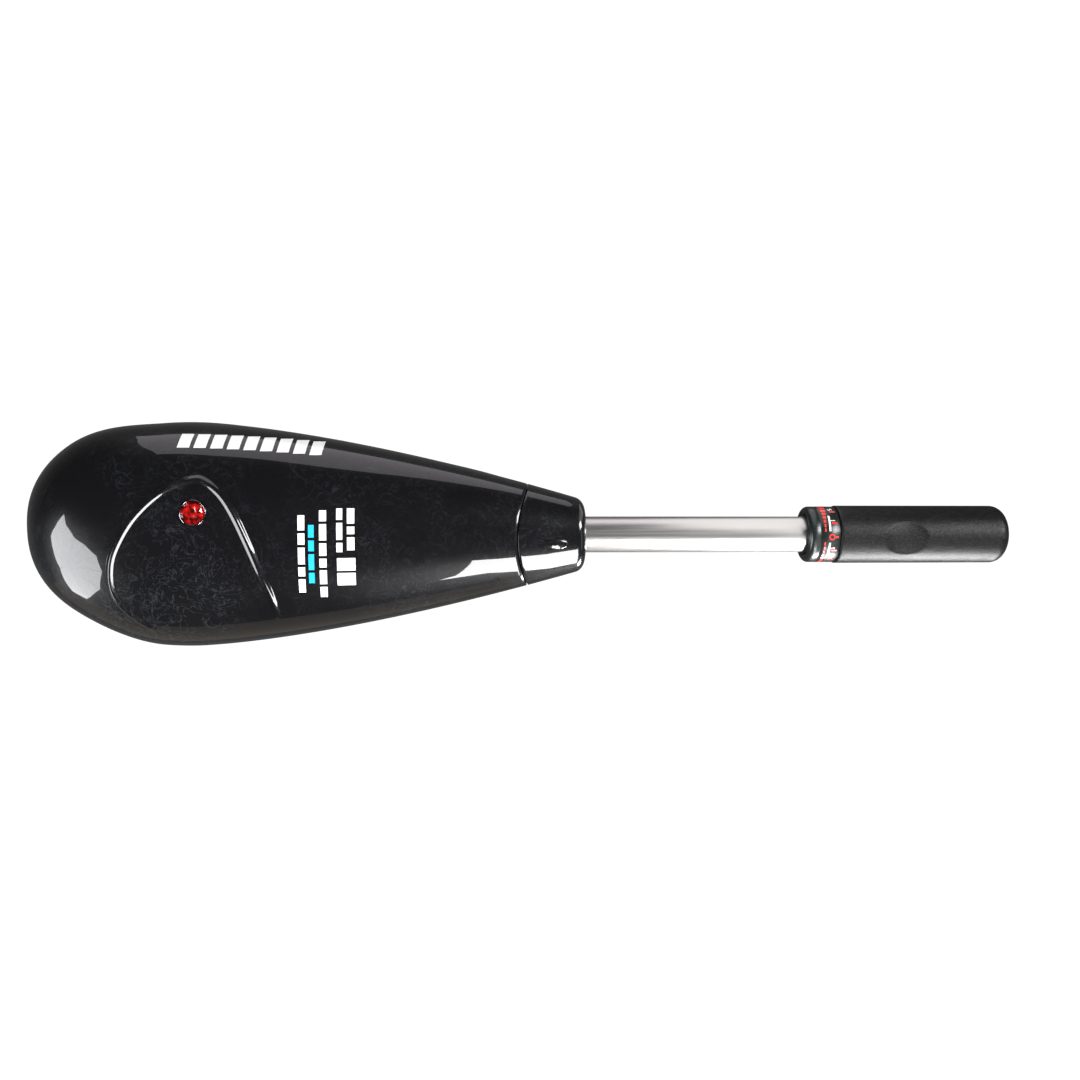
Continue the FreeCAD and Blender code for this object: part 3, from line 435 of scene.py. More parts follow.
# ---------------------------------------------------------------- the head's form
# Millimetres from the head's centre, with x towards the grip. The powers set how full it is.
HALF_WIDTH, RISE, DROP = 67.4, 53.0, 36.0
FULL_X, BACK_X, NOSE_X = 5.0, -93.0, 238.6
NOSE_WIDTH, NOSE_RISE, NOSE_DROP = 21.5, 21.0, 20.0
BACK_POWER, FRONT_POWER, SECTION_POWER = 2.23, 1.48, 2.3
SPLIT_DROP, GASKET = 6.0, 1.6
BACK_LEAN, LEAN_FRONT, LEAN_BACK = 4.6, -12.0, -66.0
SEAM_X, SEAM_RADIUS = 196.5, 68.0


def section(x):
    """Half width, rise, drop and middle height of the head at x, in millimetres."""
    if x <= FULL_X:
        reach = min((FULL_X - x) / (FULL_X - BACK_X), 1)
        shrink = (1 - reach ** BACK_POWER) ** (1 / BACK_POWER)
        return HALF_WIDTH * shrink, RISE * shrink, DROP * shrink, -SPLIT_DROP
    along = (x - FULL_X) / (NOSE_X - FULL_X)
    fall = along ** FRONT_POWER
    return (HALF_WIDTH + (NOSE_WIDTH - HALF_WIDTH) * fall,
            RISE + (NOSE_RISE - RISE) * fall,
            DROP + (NOSE_DROP - DROP) * fall,
            -SPLIT_DROP * (1 - along ** 2))


def lean(x):
    """How far the head's middle line leans to the left at x, towards its back."""
    along = min(max((LEAN_FRONT - x) / (LEAN_FRONT - LEAN_BACK), 0), 1)
    return BACK_LEAN * along ** 2 * (3 - 2 * along)


def head_ring_point(x, turn, inset=0.0):
    """A point on the head's section at x; a turn of 0 is the left side and a quarter is the top."""
    width, rise, drop, centre = section(x)
    power = 2 / SECTION_POWER
    across = math.copysign(abs(math.cos(turn)) ** power, math.cos(turn))
    up = math.copysign(abs(math.sin(turn)) ** power, math.sin(turn))
    height = rise if up > 0 else drop
    return Vector((x, lean(x) + max(width - inset, 0) * across,
                   centre + max(height - inset, 0) * up))


def top_height(x, y):
    """Height of the head's upper surface over a point of its plan."""
    width, rise, _, centre = section(x)
    part = min(abs(y - lean(x)) / max(width, 1e-6), 1)
    return centre + rise * (1 - part ** SECTION_POWER) ** (1 / SECTION_POWER)


def top_point(x, y, lift=0.0):
    """A point on the upper surface, or lifted off it, and the surface's normal there."""
    step = 0.05
    slope_x = (top_height(x + step, y) - top_height(x - step, y)) / (2 * step)
    slope_y = (top_height(x, y + step) - top_height(x, y - step)) / (2 * step)
    normal = Vector((-slope_x, -slope_y, 1)).normalized()
    return Vector((x, y, top_height(x, y))) + normal * lift, normal


def to_row(point):
    """A point of the head's millimetres, in the scene's metres."""
    return HEAD + Vector(point) * MM


def seam_at(y):
    """Where the curved seam between the head and its nose crosses a given y."""
    return SEAM_X + SEAM_RADIUS - math.sqrt(SEAM_RADIUS ** 2 - y ** 2)


def seam_on_ring(turn):
    """The x at which the seam crosses the line of points that share a turn."""
    x = SEAM_X
    for _ in range(8):
        x = seam_at(head_ring_point(x, turn).y)
    return x


def split_turn(x, height):
    """The turn at which the section at x passes a height close to its widest line."""
    _, rise, drop, centre = section(x)
    offset = height - centre
    reach = rise if offset > 0 else drop
    part = min(abs(offset) / max(reach, 1e-6), 1) ** (SECTION_POWER / 2)
    return math.copysign(math.asin(part), offset)


def back_stations(count):
    """Stations from the head's back tip to its widest place, crowded towards the tip."""
    first = math.radians(1.2)
    stations = []
    for step in range(count):
        turn = first + (math.pi / 2 - first) * step / count
        reach = math.cos(turn) ** (2 / BACK_POWER)
        stations.append(FULL_X - (FULL_X - BACK_X) * reach)
    return stations


def cover_ring(station, place_of, inset):
    """The cover's section, with a short flange at both edges; place_of gives x at a turn."""
    across = 120
    flange = Vector((0, 2.2 * MM, 0))
    ring = []
    for step in range(across + 1):
        place = station
        for _ in range(3):
            low = split_turn(place, GASKET / 2 - SPLIT_DROP)
            turn = low + (math.pi - 2 * low) * (step / across)
            place = place_of(turn)
        ring.append(to_row(head_ring_point(place, turn, inset)))
    return [ring[0] - flange, *ring, ring[-1] + flange]


def cover_skin():
    """The cover's outer skin, with a folded edge at the seam and at the split."""
    fronts = 110
    seam_gap = 0.55
    folds = ((0.35, 0.12), (0.25, 0.45), (0.25, 2.6))
    rings = []
    for x in back_stations(56):
        rings.append(cover_ring(x, lambda turn, x=x: x, 0.0))
    for step in range(fronts + 1):
        part = step / fronts
        rings.append(cover_ring(
            FULL_X,
            lambda turn, part=part: FULL_X + (seam_on_ring(turn) - seam_gap - FULL_X) * part, 0.0))
    for gap, inset in folds:
        rings.append(cover_ring(FULL_X, lambda turn, gap=gap: seam_on_ring(turn) - gap, inset))
    width = len(rings[0])
    faces = ring_faces(len(rings), width, closed=False)
    faces.append(tuple(range(1, width - 1)))
    vertices = [point for ring in rings for point in ring]
    item = mesh_piece("cover_skin", vertices, faces, "motor", "gloss_black")
    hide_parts("head_cover")
    return item


def cut_round_hole(item, centre, axis, radius, depth):
    """Cuts a round hole through a skin and leaves a plain mesh."""
    shape = bmesh.new()
    bmesh.ops.create_cone(shape, cap_ends=True, segments=64, radius1=radius, radius2=radius,
                          depth=depth)
    turn = axis.to_track_quat("Z", "Y").to_matrix().to_4x4()
    bmesh.ops.transform(shape, matrix=Matrix.Translation(centre) @ turn, verts=shape.verts)
    mesh = bpy.data.meshes.new("cutter")
    shape.to_mesh(mesh)
    shape.free()
    cutter = add_object("cutter", mesh)
    modifier = item.modifiers.new("hole", "BOOLEAN")
    modifier.object = cutter
    modifier.operation = "DIFFERENCE"
    modifier.solver = "EXACT"
    bpy.context.view_layer.update()
    graph = bpy.context.evaluated_depsgraph_get()
    made = bpy.data.meshes.new_from_object(item.evaluated_get(graph))
    item.modifiers.clear()
    item.data = made
    bpy.data.objects.remove(cutter)


def nose_skin():
    """The head's end cap: groove edge, tapering barrel, rounded lip and the tube's mouth."""
    around = 144
    lip = 5.0
    mouth = 14.1
    first_gap = 0.8
    rows = [("seam", -7.0, 3.2), ("seam", 0.3, 3.2), ("seam", 0.3, 0.7), ("seam", 0.45, 0.25),
            ("seam", first_gap, 0.05)]
    for step in range(1, 41):
        rows.append(("body", step / 40, 0.0))
    for step in range(1, 9):
        rows.append(("lip", step / 8, 0.0))
    vertices = []
    for kind, value, inset in rows:
        for step in range(around):
            turn = 2 * math.pi * step / around
            seam = seam_on_ring(turn)
            if kind == "seam":
                point = head_ring_point(seam + value, turn, inset)
            elif kind == "body":
                start = seam + first_gap
                point = head_ring_point(start + (NOSE_X - lip - start) * value, turn)
            else:
                angle = value * math.pi / 2
                point = head_ring_point(NOSE_X - lip + lip * math.sin(angle), turn,
                                        lip * (1 - math.cos(angle)))
            vertices.append(to_row(point))
    mouth_rings = ((NOSE_X, mouth + 0.5), (NOSE_X - 0.5, mouth), (NOSE_X - 40, mouth))
    for x, radius in mouth_rings:
        for step in range(around):
            turn = 2 * math.pi * step / around
            vertices.append(to_row((x, radius * math.cos(turn), radius * math.sin(turn))))
    faces = ring_faces(len(rows) + len(mouth_rings), around)
    item = mesh_piece("nose_cap", vertices, faces, "motor", "gloss_black")
    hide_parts("nose_collar")


def key_boss():
    """The small raised oval on top of the nose."""
    centre_x, centre_y = 219.0, -3.2
    half_length, half_width, height = 8.3, 3.7, 1.15
    rings = 10
    around = 48
    vertices = []
    for ring in range(rings + 1):
        part = ring / rings
        lift = height * math.cos(part * math.pi / 2) ** 0.55 - 0.12 * part
        for step in range(around):
            turn = 2 * math.pi * step / around
            x = centre_x + half_length * part * math.cos(turn)
            y = centre_y + half_width * part * math.sin(turn)
            point, _ = top_point(x, y, lift)
            vertices.append(to_row(point))
    item = mesh_piece("nose_key_boss", vertices, ring_faces(rings + 1, around), "motor",
                      "gloss_black")
    weld(item)


# ---------------------------------------------------------------- raised line and lamp
# Points of the raised line on the head's plan, in millimetres.
ARCH = [(-11.7, -53.5), (-19.5, -47.3), (-28.2, -38.5), (-33.2, -29.4), (-34.2, -17.5),
        (-30.9, -4.3), (-20.2, 13.7), (-4.3, 28.6), (12.4, 35.2), (20.2, 33.4), (28.6, 26.2),
        (35.7, 15.0), (42.6, -0.3), (49.6, -18.3), (54.7, -32.9), (58.4, -50.0)]


def smooth_path(points, steps):
    """Points on a Catmull-Rom curve through a few chosen ones."""
    padded = [points[0], *points, points[-1]]
    result = []
    for a, b, c, d in zip(padded, padded[1:], padded[2:], padded[3:]):
        for step in range(steps):
            t = step / steps
            result.append(tuple(
                0.5 * (2 * q + (r - p) * t + (2 * p - 5 * q + 4 * r - s) * t ** 2
                       + (3 * q - p - 3 * r + s) * t ** 3)
                for p, q, r, s in zip(a, b, c, d)))
    result.append(points[-1])
    return result


def raised_line():
    """A low rounded bead that arches over the lamp and fades out at both ends."""
    path = smooth_path(ARCH, 12)
    half, height = 2.6, 1.4
    across = 15
    sunk = 0.03
    first_fade, last_fade = 22, 46
    vertices = []
    for number, (x, y) in enumerate(path):
        x0, y0 = path[max(number - 1, 0)]
        x1, y1 = path[min(number + 1, len(path) - 1)]
        length = math.hypot(x1 - x0, y1 - y0)
        side = Vector(((y0 - y1) / length, (x1 - x0) / length))
        ends = min(number / first_fade, (len(path) - 1 - number) / last_fade)
        fade = math.sin(min(ends, 1) * math.pi / 2)
        for step in range(across):
            part = 2 * step / (across - 1) - 1
            bulge = height * fade * (0.5 + 0.5 * math.cos(part * math.pi)) ** 0.85
            point, _ = top_point(x + side.x * half * part, y + side.y * half * part,
                                 bulge - sunk)
            vertices.append(to_row(point))
    faces = ring_faces(len(path), across, closed=False)
    mesh_piece("raised_line", vertices, faces, "motor", "gloss_black")


def lens_facets(rows):
    """Points and triangles of the faceted lens: a centre and rings of growing size.

    A row is (radius, height, points, turn of its first point).
    """
    points = [Vector((0, 0, 0.0005))]
    starts = []
    for radius, height, count, twist in rows:
        starts.append(len(points))
        for step in range(count):
            turn = 2 * math.pi * step / count + twist
            points.append(Vector((radius * math.cos(turn), radius * math.sin(turn), height)))
    inner = rows[0][2]
    faces = [(0, 1 + step, 1 + (step + 1) % inner) for step in range(inner)]
    for (_, _, small, _), (_, _, large, _), low, high in zip(rows, rows[1:], starts, starts[1:]):
        ratio = large // small
        for step in range(small):
            for part in range(ratio):
                outer = high + step * ratio + part
                outer_next = high + (step * ratio + part + 1) % large
                faces.append((low + step, outer, outer_next))
            faces.append((low + step, high + (step + 1) * ratio % large,
                          low + (step + 1) % small))
    return points, faces


def lamp():
    """Faceted red lens in a thin dark-chromed ring; returns its seat and direction."""
    centre = middle("indicator_lens")
    surface, normal = top_point((centre.x - HEAD.x) / MM, (centre.y - HEAD.y) / MM)
    seat = to_row(surface)
    ring_profile = [(-0.0030, 0.0066), (0.0001, 0.0066), (0.0007, 0.00675), (0.0009, 0.0070),
                    (0.0007, 0.0073), (0.0001, 0.0074), (-0.0030, 0.0074)]
    ring = lathe("lamp_ring", seat, normal, ring_profile, "motor", "bright_metal")
    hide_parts("indicator_bezel")
    points, faces = lens_facets([(0.0021, 0.0001, 6, 0.0), (0.0040, 0.0009, 12, 0.26),
                                 (0.0055, 0.0003, 12, 0.0), (0.0065, -0.0006, 24, 0.13)])
    first, second = axis_frame(normal)
    placed = [seat + first * v.x + second * v.y + normal * v.z for v in points]
    lens = mesh_piece("lamp_lens", placed, faces, "motor", "lens_red", smooth=False)
    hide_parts("indicator_lens")
    return seat, normal


# ---------------------------------------------------------------- printed marks on the head
def print_patch(name, low, high, color, slant=0.0):
    """A thin printed block on the upper surface, between two corners of the plan."""
    pitch, ink_height = 1.5, 0.09
    steps_x = max(int((high[0] - low[0]) / pitch), 2)
    steps_y = max(int((high[1] - low[1]) / pitch), 2)
    vertices = []
    for row in range(steps_x + 1):
        for column in range(steps_y + 1):
            part_x = row / steps_x
            part_y = column / steps_y
            centre = (low[0] + high[0]) / 2 + slant * part_y
            x = centre + (part_x - 0.5) * (high[0] - low[0])
            y = low[1] + (high[1] - low[1]) * part_y
            point, _ = top_point(x, y, ink_height)
            vertices.append(to_row(point))
    faces = ring_faces(steps_x + 1, steps_y + 1, closed=False)
    mesh_piece(name, vertices, faces, "motor", "gloss_black", INKS[color])


def printed_blocks():
    """Plain bars in place of words: rows of short and long strokes, and two larger blocks.

    A row is (ink, x, width along x, lowest y, highest y, lengths of its strokes).
    """
    gap = 1.6
    rows = [
        ("white", 70.5, 3.8, -29.5, 15.3, (7.5, 5.0, 9.0, 6.0, 8.0)),
        ("cyan", 76.3, 3.2, -24.0, 9.8, (6.0, 9.0, 6.0, 7.0)),
        ("white", 82.4, 4.0, -32.5, 18.0, (6.0, 8.0, 5.0, 7.0, 9.0, 6.0)),
        ("white", 92.0, 3.4, -6.0, 19.0, (5.0, 9.0, 6.0)),
        ("white", 98.0, 4.2, -5.0, 19.0, (7.0, 4.0, 8.0)),
    ]
    for number, (color, x, width, low, high, lengths) in enumerate(rows):
        scale = (high - low) / (sum(lengths) + gap * (len(lengths) - 1))
        y = low
        for index, length in enumerate(lengths):
            end = y + length * scale
            print_patch("print_row%d_%d" % (number, index), (x, y), (x + width, end), color)
            y = end + gap * scale
    for index, y in enumerate((-25.6, -16.9)):
        print_patch("print_block_%d" % index, (92.2, y), (102.6, y + 7.4), "white")


def side_stripes():
    """Slanted stripes on the left shoulder, in place of a word."""
    low_x, high_x, count = 1.0, 84.0, 9
    pitch = (high_x - low_x) / count
    for step in range(count):
        x = low_x + pitch * step
        middle_y = 57.4 - 5.0 * (step / count) ** 1.6
        print_patch("shoulder_mark_%d" % step, (x + 0.8, middle_y - 4.4),
                    (x + pitch - 1.6, middle_y + 3.2), "white", slant=1.2)


# ---------------------------------------------------------------- tiller
def tiller_tube():
    """The tiller's tube, open at both ends, with eased rims."""
    low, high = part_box("tiller_tube")
    radius = (high.z - low.z) / 2
    bore = radius - 0.0012
    rim = 0.0003
    length = high.x - low.x
    profile = [(0, bore), (0, radius - rim), (rim, radius)]
    profile += [(length * step / 24, radius) for step in range(1, 24)]
    profile += [(length - rim, radius), (length, radius - rim), (length, bore), (0, bore)]
    tube = along_tiller("tiller_tube_skin", low.x, profile, "tiller", "silver_tube", 128)
    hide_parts("tiller_tube")


def dial():
    """The fixed ring round the tube, with a rounded shoulder; gives its start and radius."""
    low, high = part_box("dial_collar")
    radius = (high.z - low.z) / 2 - 0.00002
    length = high.x - low.x
    bore = (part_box("tiller_tube")[1].z - TILLER.z) + 0.0003
    edge = 0.003
    profile = [(0.008, bore), (0.0036, bore), (0.0032, bore + 0.0003), (0.0004, bore + 0.0024),
               (0.0, bore + 0.0028)]
    for step in range(1, 9):
        turn = step / 8 * math.pi / 2
        profile.append((0.0002 + edge * (1 - math.cos(turn)),
                        radius - edge * (1 - math.sin(turn))))
    profile += [(0.0062, radius), (0.0065, radius - 0.0002), (0.0069, radius - 0.0002),
                (0.0072, radius), (length - 0.0005, radius), (length, radius - 0.0005),
                (length, bore)]
    ring = along_tiller("dial_ring", low.x, profile, "tiller", "dial_black", 144)
    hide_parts("dial_collar")
    return low.x, radius


def dial_point(along, angle, radius):
    """A point just over the dial's face, at an angle from the top towards the left (+Y)."""
    lift = radius + 0.00006
    return Vector((along, lift * math.sin(angle), TILLER.z + lift * math.cos(angle)))


def dial_patch(name, start, width, turn, span, radius, color):
    """A printed mark on the dial; turn and span are in degrees from the top, to the left."""
    steps = max(int(abs(span) / 3), 2)
    vertices = []
    for along in (start, start + width):
        for step in range(steps + 1):
            angle = math.radians(turn + span * (step / steps - 0.5))
            vertices.append(dial_point(along, angle, radius))
    faces = ring_faces(2, steps + 1, closed=False)
    mesh_piece(name, vertices, faces, "tiller", "dial_black", INKS[color])


# A number's strokes: a, g and d run across it; b and c down its right side, f and e its left.
DIGIT_STROKES = {"1": "bc", "2": "abged", "3": "abgcd", "4": "fgbc", "5": "afgcd"}


def dial_digit(name, digit, start, turn, radius, color):
    """A number made of short bars; it reads from the grip's end."""
    tall, wide, bar = 0.0026, 6.0, 0.0004
    bar_angle = math.degrees(bar / radius)
    strokes = {
        "a": (start, bar, turn, wide), "d": (start + tall - bar, bar, turn, wide),
        "g": (start + tall / 2 - bar / 2, bar, turn, wide),
        "b": (start, tall / 2, turn - wide / 2, bar_angle),
        "c": (start + tall / 2, tall / 2, turn - wide / 2, bar_angle),
        "f": (start, tall / 2, turn + wide / 2, bar_angle),
        "e": (start + tall / 2, tall / 2, turn + wide / 2, bar_angle),
    }
    for letter in DIGIT_STROKES[digit]:
        along, width, angle, span = strokes[letter]
        dial_patch("%s_%s" % (name, letter), along, width, angle, span, radius, color)


def dial_scale(start_x, radius):
    """Red growing dashes, white bars, red ticks and numbers round the fixed ring."""
    step_angle = 29
    first_dash, dash_angle = 14, 9.5
    number_shift = 8.5
    dash_x = start_x + 0.0093
    bar_x = start_x + 0.0118
    tick_x = start_x + 0.0136
    number_x = start_x + 0.0132
    for word, side, count in (("left", 1, 3), ("right", -1, 5)):
        dashes = count * 3
        for number in range(dashes):
            turn = side * (first_dash + number * dash_angle)
            width = 0.0008 + 0.0052 * (number / dashes) ** 1.4
            dial_patch("dial_dash_%s_%d" % (word, number), dash_x - width * 0.35, width, turn,
                       6.6, radius, "red")
        dial_patch("dial_bar_" + word, bar_x, 0.0011, side * step_angle, 34, radius, "white")
        for number in range(1, count + 1):
            turn = side * step_angle * number
            dial_patch("dial_tick_%s_%d" % (word, number), tick_x, 0.0036, turn, 4, radius, "red")
            dial_digit("dial_number_%s_%d" % (word, number), str(number), number_x,
                       turn + number_shift, radius, "white")
    zero_ring(tick_x, radius)
    dial_patch("dial_zero_tick", tick_x + 0.0016, 0.0024, 0, 4, radius, "red")


def zero_ring(centre_x, radius):
    """The small red ring that marks stop."""
    outer, inner = 0.0019, 0.0012
    around = 28
    vertices = []
    for reach in (outer, inner):
        for step in range(around):
            turn = 2 * math.pi * step / around
            vertices.append(dial_point(centre_x + reach * math.cos(turn),
                                       reach * math.sin(turn) / radius, radius))
    mesh_piece("dial_zero_ring", vertices, ring_faces(2, around), "tiller", "dial_black",
               INKS["red"])


def grip():
    """The twist grip: long barrel, generously rounded end and a shallow thumb dish."""
    low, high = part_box("twist_grip")
    radius = (high.z - low.z) / 2
    length = high.x - low.x
    dish_x = HEAD.x + 0.4372 - low.x
    dish_long, dish_wide, dish_deep = 0.0136, 0.0108, 0.0015
    dish_turn = 0.06
    bore = 0.0113
    corner, rim = 0.0085, 0.0006
    barrel_steps, corner_steps = 90, 12
    profile = [(0.010, bore), (0.0, bore), (0.0, radius - rim), (rim, radius)]
    for step in range(1, barrel_steps + 1):
        profile.append((rim + (length - corner - rim) * step / barrel_steps, radius))
    for step in range(1, corner_steps + 1):
        turn = step / corner_steps * math.pi / 2
        profile.append((length - corner + corner * math.sin(turn),
                        radius - corner * (1 - math.cos(turn))))
    profile += [(length, radius * 0.4), (length, 0.0)]

    def dish(turn, along, reach):
        offset = turn - dish_turn
        side = math.atan2(math.sin(offset), math.cos(offset)) * radius
        distance = math.hypot((along - dish_x) / dish_long, side / dish_wide)
        if distance > 1 or reach < radius * 0.98:
            return 1
        depth = dish_deep * (1 - distance ** 2.4) ** 0.8
        return 1 - depth / radius

    item = along_tiller("grip_barrel", low.x, profile, "grip", "grip_black", 192, dish)
    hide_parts("twist_grip")


# ---------------------------------------------------------------- lower unit and bracket
# Millimetres from the pod's centre.
BLADE_X, HUB_X = -160.0, -184.0
BLADE_ROOT, BLADE_TIP = 14.0, 115.0


def blade_ring(part, around):
    """The lens-shaped outline of a blade at one share of its length, in millimetres."""
    width = 62 * (0.45 + 1.6 * part * (1 - part) + 0.15 * part)
    width *= math.sqrt(max(1 - part ** 6, 0.0004))
    pitch = math.radians(62 - 36 * part)
    thick = 5 * (1 - 0.7 * part) * min(1, 0.25 + 6 * math.sqrt(1 - part))
    ring = []
    for step in range(around):
        angle = 2 * math.pi * step / around
        along = width / 2 * math.cos(angle) - 9 * part
        across = thick / 2 * math.sin(angle)
        ring.append(Vector((along * math.sin(pitch) + across * math.cos(pitch),
                            along * math.cos(pitch) - across * math.sin(pitch),
                            BLADE_ROOT + (BLADE_TIP - BLADE_ROOT) * part)))
    return ring


def propeller():
    """Two pitched blades on a tapering hub."""
    around, rows = 48, 60
    pieces = []
    for number, turn in enumerate((0, math.pi)):
        swing = Matrix.Rotation(turn, 3, "X")
        vertices = []
        for row in range(rows + 1):
            part = math.sin(row / rows * math.pi / 2) ** 1.2
            for point in blade_ring(part, around):
                vertices.append(POD + Vector((BLADE_X * MM, 0, 0)) + swing @ (point * MM))
        faces = ring_faces(rows + 1, around, start_cap=True, end_cap=True)
        pieces.append(mesh_piece("blade_%d" % number, vertices, faces, "rotor", "prop_black"))
    profile = softened([(0.0, 0.0056), (0.0, 0.015), (0.050, 0.019), (0.050, 0.013),
                        (0.044, 0.013), (0.044, 0.0056)], 0.0014)
    pieces.append(lathe("propeller_hub", POD + Vector((HUB_X * MM, 0, 0)), (1, 0, 0), profile,
                        "rotor", "prop_black", around=96))
    for piece in pieces:
        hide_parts("propeller")


def lobed_knob(node, sign):
    """A hand knob, on the body of its own name, with five scallops; it faces along sign * Y."""
    lobes, lobe_depth = 5, 0.17
    low_edge, high_edge = 0.002, 0.0035
    low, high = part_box(node)
    centre = middle(node)
    height = high.y - low.y
    radius = (high.x - low.x) / 2

    def scallops(turn, along, reach):
        if reach < 0.7 * radius:
            return 1
        wave = 0.5 - 0.5 * math.cos(lobes * turn)
        return 1 - lobe_depth * wave ** 1.6

    profile = [(0.0, 0.0042), (0.0, radius * 0.72)]
    for step in range(7):
        turn = step / 6 * math.pi / 2
        profile.append((low_edge * (1 - math.cos(turn)),
                        radius - low_edge * (1 - math.sin(turn))))
    for step in range(9):
        turn = step / 8 * math.pi / 2
        profile.append((height - high_edge + high_edge * math.sin(turn),
                        radius - high_edge * (1 - math.cos(turn))))
    profile += [(height, radius * 0.62), (height - 0.0008, radius * 0.55),
                (height - 0.0008, 0.0)]
    start = Vector((centre.x, low.y if sign > 0 else high.y, centre.z))
    knob = lathe(node + "_lobed", start, (0, sign, 0), profile, node, "bracket_black",
                 around=120, scallop=scallops)
    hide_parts(node)


FLAT_ANGLE, HARD_ANGLE, SHADING_ANGLE = (math.radians(angle) for angle in (0.4, 35, 40))


def soft_edges(node, body, width):
    """Stands in for a hard-edged part with the same part, its edges slightly rounded."""
    source = frame["nodes"][node]
    shape = bmesh.new()
    shape.from_mesh(source.data)
    bmesh.ops.remove_doubles(shape, verts=shape.verts, dist=SAME_POINT)
    bmesh.ops.dissolve_limit(shape, angle_limit=FLAT_ANGLE, verts=shape.verts, edges=shape.edges)
    sharp = [edge for edge in shape.edges
             if len(edge.link_faces) == 2 and edge.calc_face_angle(0) > HARD_ANGLE]
    bmesh.ops.bevel(shape, geom=sharp, offset=width, segments=3, profile=0.5, affect="EDGES",
                    clamp_overlap=True)
    mesh = bpy.data.meshes.new(node + "_rounded")
    shape.to_mesh(mesh)
    shape.free()
    mesh.polygons.foreach_set("use_smooth", [True] * len(mesh.polygons))
    mesh.set_sharp_from_angle(angle=SHADING_ANGLE)
    item = add_object(node + "_rounded", mesh)
    slot = SLOTS[node]
    mesh.materials.append(MATERIALS[slot])
    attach(item, body)
    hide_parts(node)


# How far the edges are rounded, in metres, by body and node.
ROUNDED = {
    "bracket": {"clamp_bracket": 0.0012},
    "swivel": {"swivel_housing": 0.0012},
    "collar": {"depth_collar": 0.001},
    "left_screw": {"left_clamp_handle": 0.0014},
    "right_screw": {"right_clamp_handle": 0.0014},
    "left_pad": {"left_clamp_pad": 0.0008},
    "right_pad": {"right_clamp_pad": 0.0008},
    "motor": {"motor_housing": 0.001, "rear_end_bell": 0.001, "nose_cone": 0.0006,
              "cable_gland": 0.0006, "gland_nut": 0.0005, "clamp_bolt": 0.0005},
    "rotor": {"prop_nut": 0.0008},
}


def rounded_parts():
    """Rounds the edges of the hard-edged castings and fittings."""
    for body, nodes in ROUNDED.items():
        for node, width in nodes.items():
            soft_edges(node, body, width)


def clamp_threads():
    """Fine threads on the two clamp screws."""
    pitch, depth = 0.0015, 0.00045
    around, turn_rows = 40, 6
    for side in ("left", "right"):
        node = side + "_clamp_screw"
        low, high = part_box(node)
        centre = middle(node)
        radius = (high.z - low.z) / 2
        length = high.x - low.x
        rows = int(length / pitch * turn_rows)
        vertices = []
        for row in range(rows + 1):
            for step in range(around):
                turn = 2 * math.pi * step / around
                phase = (row / turn_rows + step / around) % 1
                ridge = abs(2 * phase - 1)
                near_end = min(row, rows - row) < turn_rows
                reach = radius - (depth if near_end else depth * ridge)
                vertices.append(Vector((low.x + length * row / rows,
                                        centre.y + reach * math.cos(turn),
                                        centre.z + reach * math.sin(turn))))
        faces = ring_faces(rows + 1, around, start_cap=True, end_cap=True)
        screw = mesh_piece(side + "_screw_thread", vertices, faces, side + "_screw", "steel")
        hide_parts(node)


# ---------------------------------------------------------------- stage
def direction(azimuth, elevation):
    """The unit vector at an azimuth (from +X towards +Y) and elevation, both in degrees."""
    turn = math.radians(azimuth)
    rise = math.radians(elevation)
    return Vector((math.cos(rise) * math.cos(turn), math.cos(rise) * math.sin(turn),
                   math.sin(rise)))


def glow_material(name, color, strength):
    """A plain light-giving material."""
    made = bpy.data.materials.new(name)
    made.use_nodes = True
    tree = made.node_tree
    tree.nodes.clear()
    emission = tree.nodes.new("ShaderNodeEmission")
    emission.inputs["Color"].default_value = (*color, 1)
    emission.inputs["Strength"].default_value = strength
    output = tree.nodes.new("ShaderNodeOutputMaterial")
    tree.links.new(emission.outputs["Emission"], output.inputs["Surface"])
    return made


def glow_panel(name, centre, outlines, distance, strength, color):
    """A lit studio panel; each outline lists (azimuth, elevation) corners seen from a centre."""
    vertices = []
    faces = []
    for outline in outlines:
        faces.append(tuple(range(len(vertices), len(vertices) + len(outline))))
        vertices += [tuple(centre + direction(a, e) * distance) for a, e in outline]
    mesh = bpy.data.meshes.new(name)
    mesh.from_pydata(vertices, [], faces)
    item = add_object(name, mesh)
    mesh.materials.append(glow_material(name, color, strength))
    item.visible_camera = False
    item.visible_shadow = False


# Outlines of the studio's panels, as (azimuth, elevation) corners in degrees.
UMBRELLA = [(175.5, 24.6), (183, 15.7), (186, 9.9), (193, 9.7), (204, 8.1), (216, -2.5),
            (223.5, -13.2), (223, 5.6), (221, 23.4), (211, 38.6), (199, 42.8), (191, 38.5),
            (187, 32.2), (182, 26.7)]
FRONT_STRIP = [(-74.5, 33), (-70, 31), (-69, 22), (-68.5, 8), (-66.5, 4), (-44, 52), (-54, 50.5),
               (-58, 54.5), (-60, 57), (-67.5, 46.5), (-72, 36.5)]
LEFT_CARD = [(119, -50), (113.5, -16), (113, 5), (112, 14.5), (97, 17.6), (90, 17), (83, 18),
             (78, 15), (75.5, 11), (72, 5), (67, -3), (62, 0), (62, -50)]


GRIP_STRIP = [(-80, -18), (-56, -18), (-56, 2), (-80, 2)]
GRIP_SHEET = [(-60, 28), (-15, 60), (60, 78), (120, 78), (195, 68), (240, 40)]
TUBE_CARD = [(50, -30), (107, -30), (107, 45), (50, 45)]
RIGHT_CARD = [(12, 22), (32, 22), (32, 46), (12, 46)]
FRONT_FILL = [(-150, -32), (-30, -32), (-30, 0), (-90, 4), (-150, 0)]
UMBRELLA_HUB = (203, 20)
FAR = 2.2


